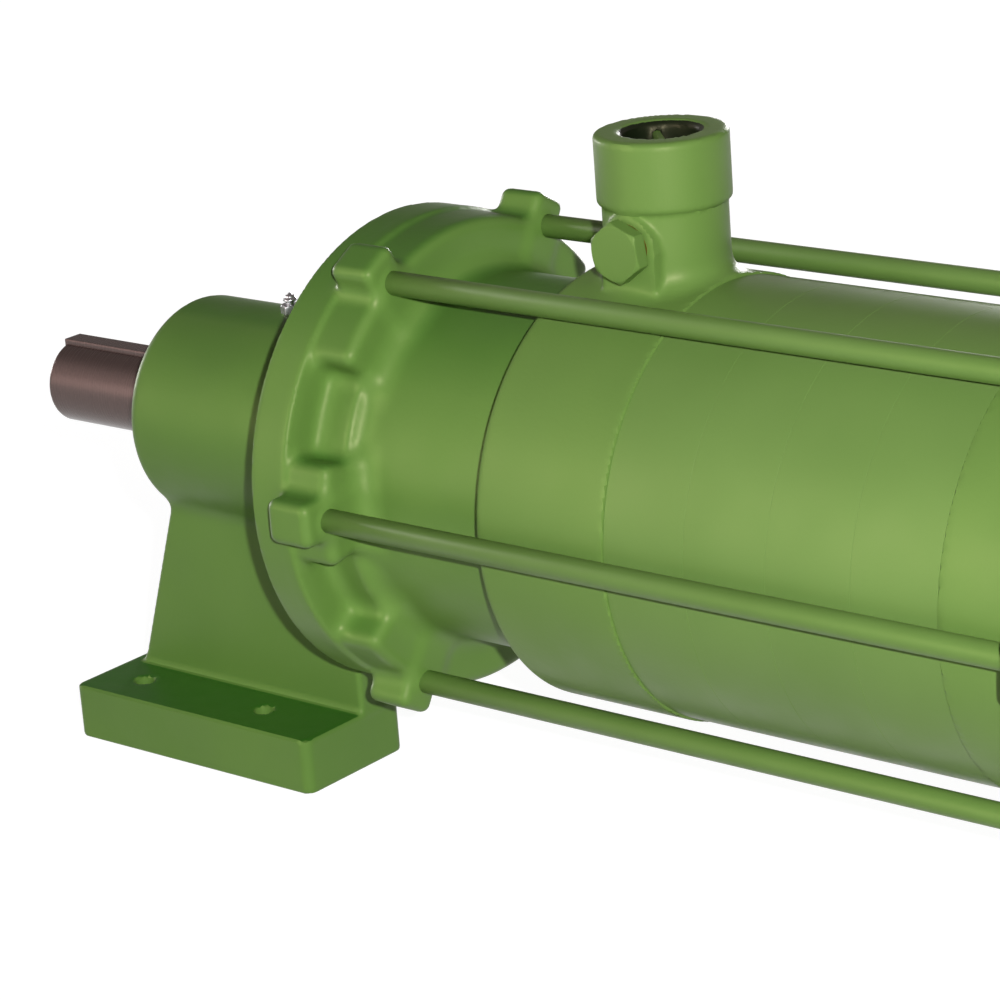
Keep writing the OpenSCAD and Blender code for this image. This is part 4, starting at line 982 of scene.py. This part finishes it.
# %% [markdown]
# ## Floor, light and camera
#
# The photo shows the pump cut out on pure white, lit from close to the camera: faces that look at the
# camera are bright, faces that look up are darker, and the tie flange throws a thin shadow on the
# bearing housing behind it. A small lamp near the camera gives that; on the foot and the tie flange the
# enamel adds painted shade to the faces that look up. The world is white to the camera but dim as a
# light. Reflections see two bright fields in it, a wide low one at the left and a small strong one in
# front, which draws the light lines on the rounded edges of the bosses. The floor glows for the camera
# and for reflections only, so that it stays white under the pump.

# %% Floor
FLOOR_HALF = 8

floor_mesh = bpy.data.meshes.new("studio_floor")
floor_mesh.from_pydata([(x * FLOOR_HALF, y * FLOOR_HALF, 0) for x, y in ((-1, -1), (1, -1), (1, 1), (-1, 1))],
                       [], [(0, 1, 2, 3)])
floor = bpy.data.objects.new("studio_floor", floor_mesh)
scene.collection.objects.link(floor)
floor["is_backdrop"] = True

paper, tree, shader, where = finish("white_studio_paper", {
    "Base Color": (0.18, 0.18, 0.18, 1), "Roughness": 0.95, "Emission Color": (1, 1, 1, 1)})
path = node(tree, "ShaderNodeLightPath").outputs
seen = node(tree, MATHS, {0: path["Is Camera Ray"], 1: path["Is Transmission Ray"]}, operation="MAXIMUM")
direct = node(tree, MATHS, {0: seen, 1: path["Is Glossy Ray"]}, operation="MAXIMUM")
far = node(tree, VECTOR, {0: where}, operation="LENGTH").outputs["Value"]
glow = node(tree, MAP, {"Value": far, "From Min": 0.5, "From Max": 1.4, "To Min": 0.94, "To Max": 1.0})
shown = node(tree, MATHS, {0: direct, 1: glow}, operation="MULTIPLY")
tree.links.new(shown.outputs[0], shader.inputs["Emission Strength"])
floor_mesh.materials.append(paper)
print("floor ready")

# %% World
WIDE_FIELD = (-0.60, -0.80, 0.0)
SMALL_FIELD = (-0.35, -0.92, 0.17)
LIGHT = "ShaderNodeBackground"

world = bpy.data.worlds.new("studio_white")
scene.world = world
world.use_nodes = True
tree = world.node_tree
tree.nodes.clear()
where = node(tree, "ShaderNodeTexCoord").outputs["Generated"]
height = node(tree, SPLIT, {0: where}).outputs["Z"]
dim = node(tree, MAP, {"Value": height, "From Min": 0.0, "From Max": 0.7, "To Min": 0.07, "To Max": 0.03})
soft = node(tree, LIGHT, {"Color": (1, 1, 1, 1), "Strength": dim})
side = node(tree, VECTOR, {0: where, 1: WIDE_FIELD}, operation="DOT_PRODUCT").outputs["Value"]
aside = node(tree, MAP, {"Value": side, "From Min": 0.45, "From Max": 0.75})
under = node(tree, MAP, {"Value": height, "From Min": 0.75, "From Max": 0.5})
field = node(tree, MATHS, {0: aside, 1: under}, operation="MULTIPLY")
wide = node(tree, MAP, {"Value": field, "From Min": 0.0, "From Max": 1.0, "To Min": 0.25, "To Max": 1.1})
near = node(tree, VECTOR, {0: where, 1: SMALL_FIELD}, operation="DOT_PRODUCT").outputs["Value"]
small = node(tree, MAP, {"Value": near, "From Min": 0.92, "From Max": 0.985, "To Min": 0.0, "To Max": 7.5})
bright = node(tree, MATHS, {0: wide, 1: small}, operation="ADD")
card = node(tree, LIGHT, {"Color": (1.0, 0.85, 0.82, 1), "Strength": bright})
white = node(tree, LIGHT, {"Color": (1, 1, 1, 1), "Strength": 1.0})
path = node(tree, "ShaderNodeLightPath").outputs
seen = node(tree, MATHS, {0: path["Is Camera Ray"], 1: path["Is Transmission Ray"]}, operation="MAXIMUM")
shine = node(tree, "ShaderNodeMixShader", {0: path["Is Glossy Ray"], 1: soft, 2: card})
both = node(tree, "ShaderNodeMixShader", {0: seen, 1: shine, 2: white})
node(tree, "ShaderNodeOutputWorld", {"Surface": both})
print("world ready")

# %% [markdown]
# The camera comes from a fit to measured edges of the photo. Its lens and its three axes are written
# out in the frame of the part.

# %% Camera
RIGHT = Vector((0.769371, 0.634619, -0.072988))
UP = Vector((-0.145974, 0.285894, 0.947078))
BACK = Vector((0.6219, -0.718, 0.312597))
CAMERA_X, CAMERA_Y, CAMERA_Z = 1.00694, -1.10966, 0.60761
LENS = 131.4756
camera_data = bpy.data.cameras.new("camera")
camera_data.sensor_width = 36.0
camera_data.lens = LENS
camera = bpy.data.objects.new("camera", camera_data)
scene.collection.objects.link(camera)
place = Matrix((RIGHT, UP, BACK)).transposed().to_4x4()
place.translation = Vector((CAMERA_X - MID_X / 1000, CAMERA_Y, CAMERA_Z))
camera.matrix_world = place
scene.camera = camera
print("camera at", [round(v, 3) for v in place.translation])

# %% [markdown]
# The key lamp is small and stands just beside the lens, so the shadows are thin and sharp. Two weaker
# suns light the rear and the drive end for the other views.

# %% Lamps
def far_lamp(name, direction, energy, angle):
    """Sun lamp that shines from a direction in the frame of the part."""
    data = bpy.data.lights.new(name, "SUN")
    data.energy = energy
    data.angle = math.radians(angle)
    obj = bpy.data.objects.new(name, data)
    scene.collection.objects.link(obj)
    obj.rotation_mode = "QUATERNION"
    obj.rotation_quaternion = Vector(direction).to_track_quat("Z", "Y")


key_light = bpy.data.lights.new("key_lamp", "POINT")
key_light.energy = 108.0
key_light.shadow_soft_size = 0.015
key_lamp = bpy.data.objects.new("key_lamp", key_light)
key_lamp.location = place.translation + RIGHT * 0.075 + UP * 0.05 + BACK * 0.15
scene.collection.objects.link(key_lamp)
far_lamp("rear_lamp", (-0.42, 1.0, 0.06), 1.6, 12)
far_lamp("end_lamp", (-1.0, 0.12, 0.08), 0.9, 12)
print("lamps ready")

# %% [markdown]
# ## Check the size and finish
#
# The dressed pump must stay inside the box of the CAD model; the last cell gives both boxes as its value.

# %% Both boxes
def plain(box):
    return [[float(v) for v in corner] for corner in box]


{"cad": plain(cad_box), "visual": plain(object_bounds())}
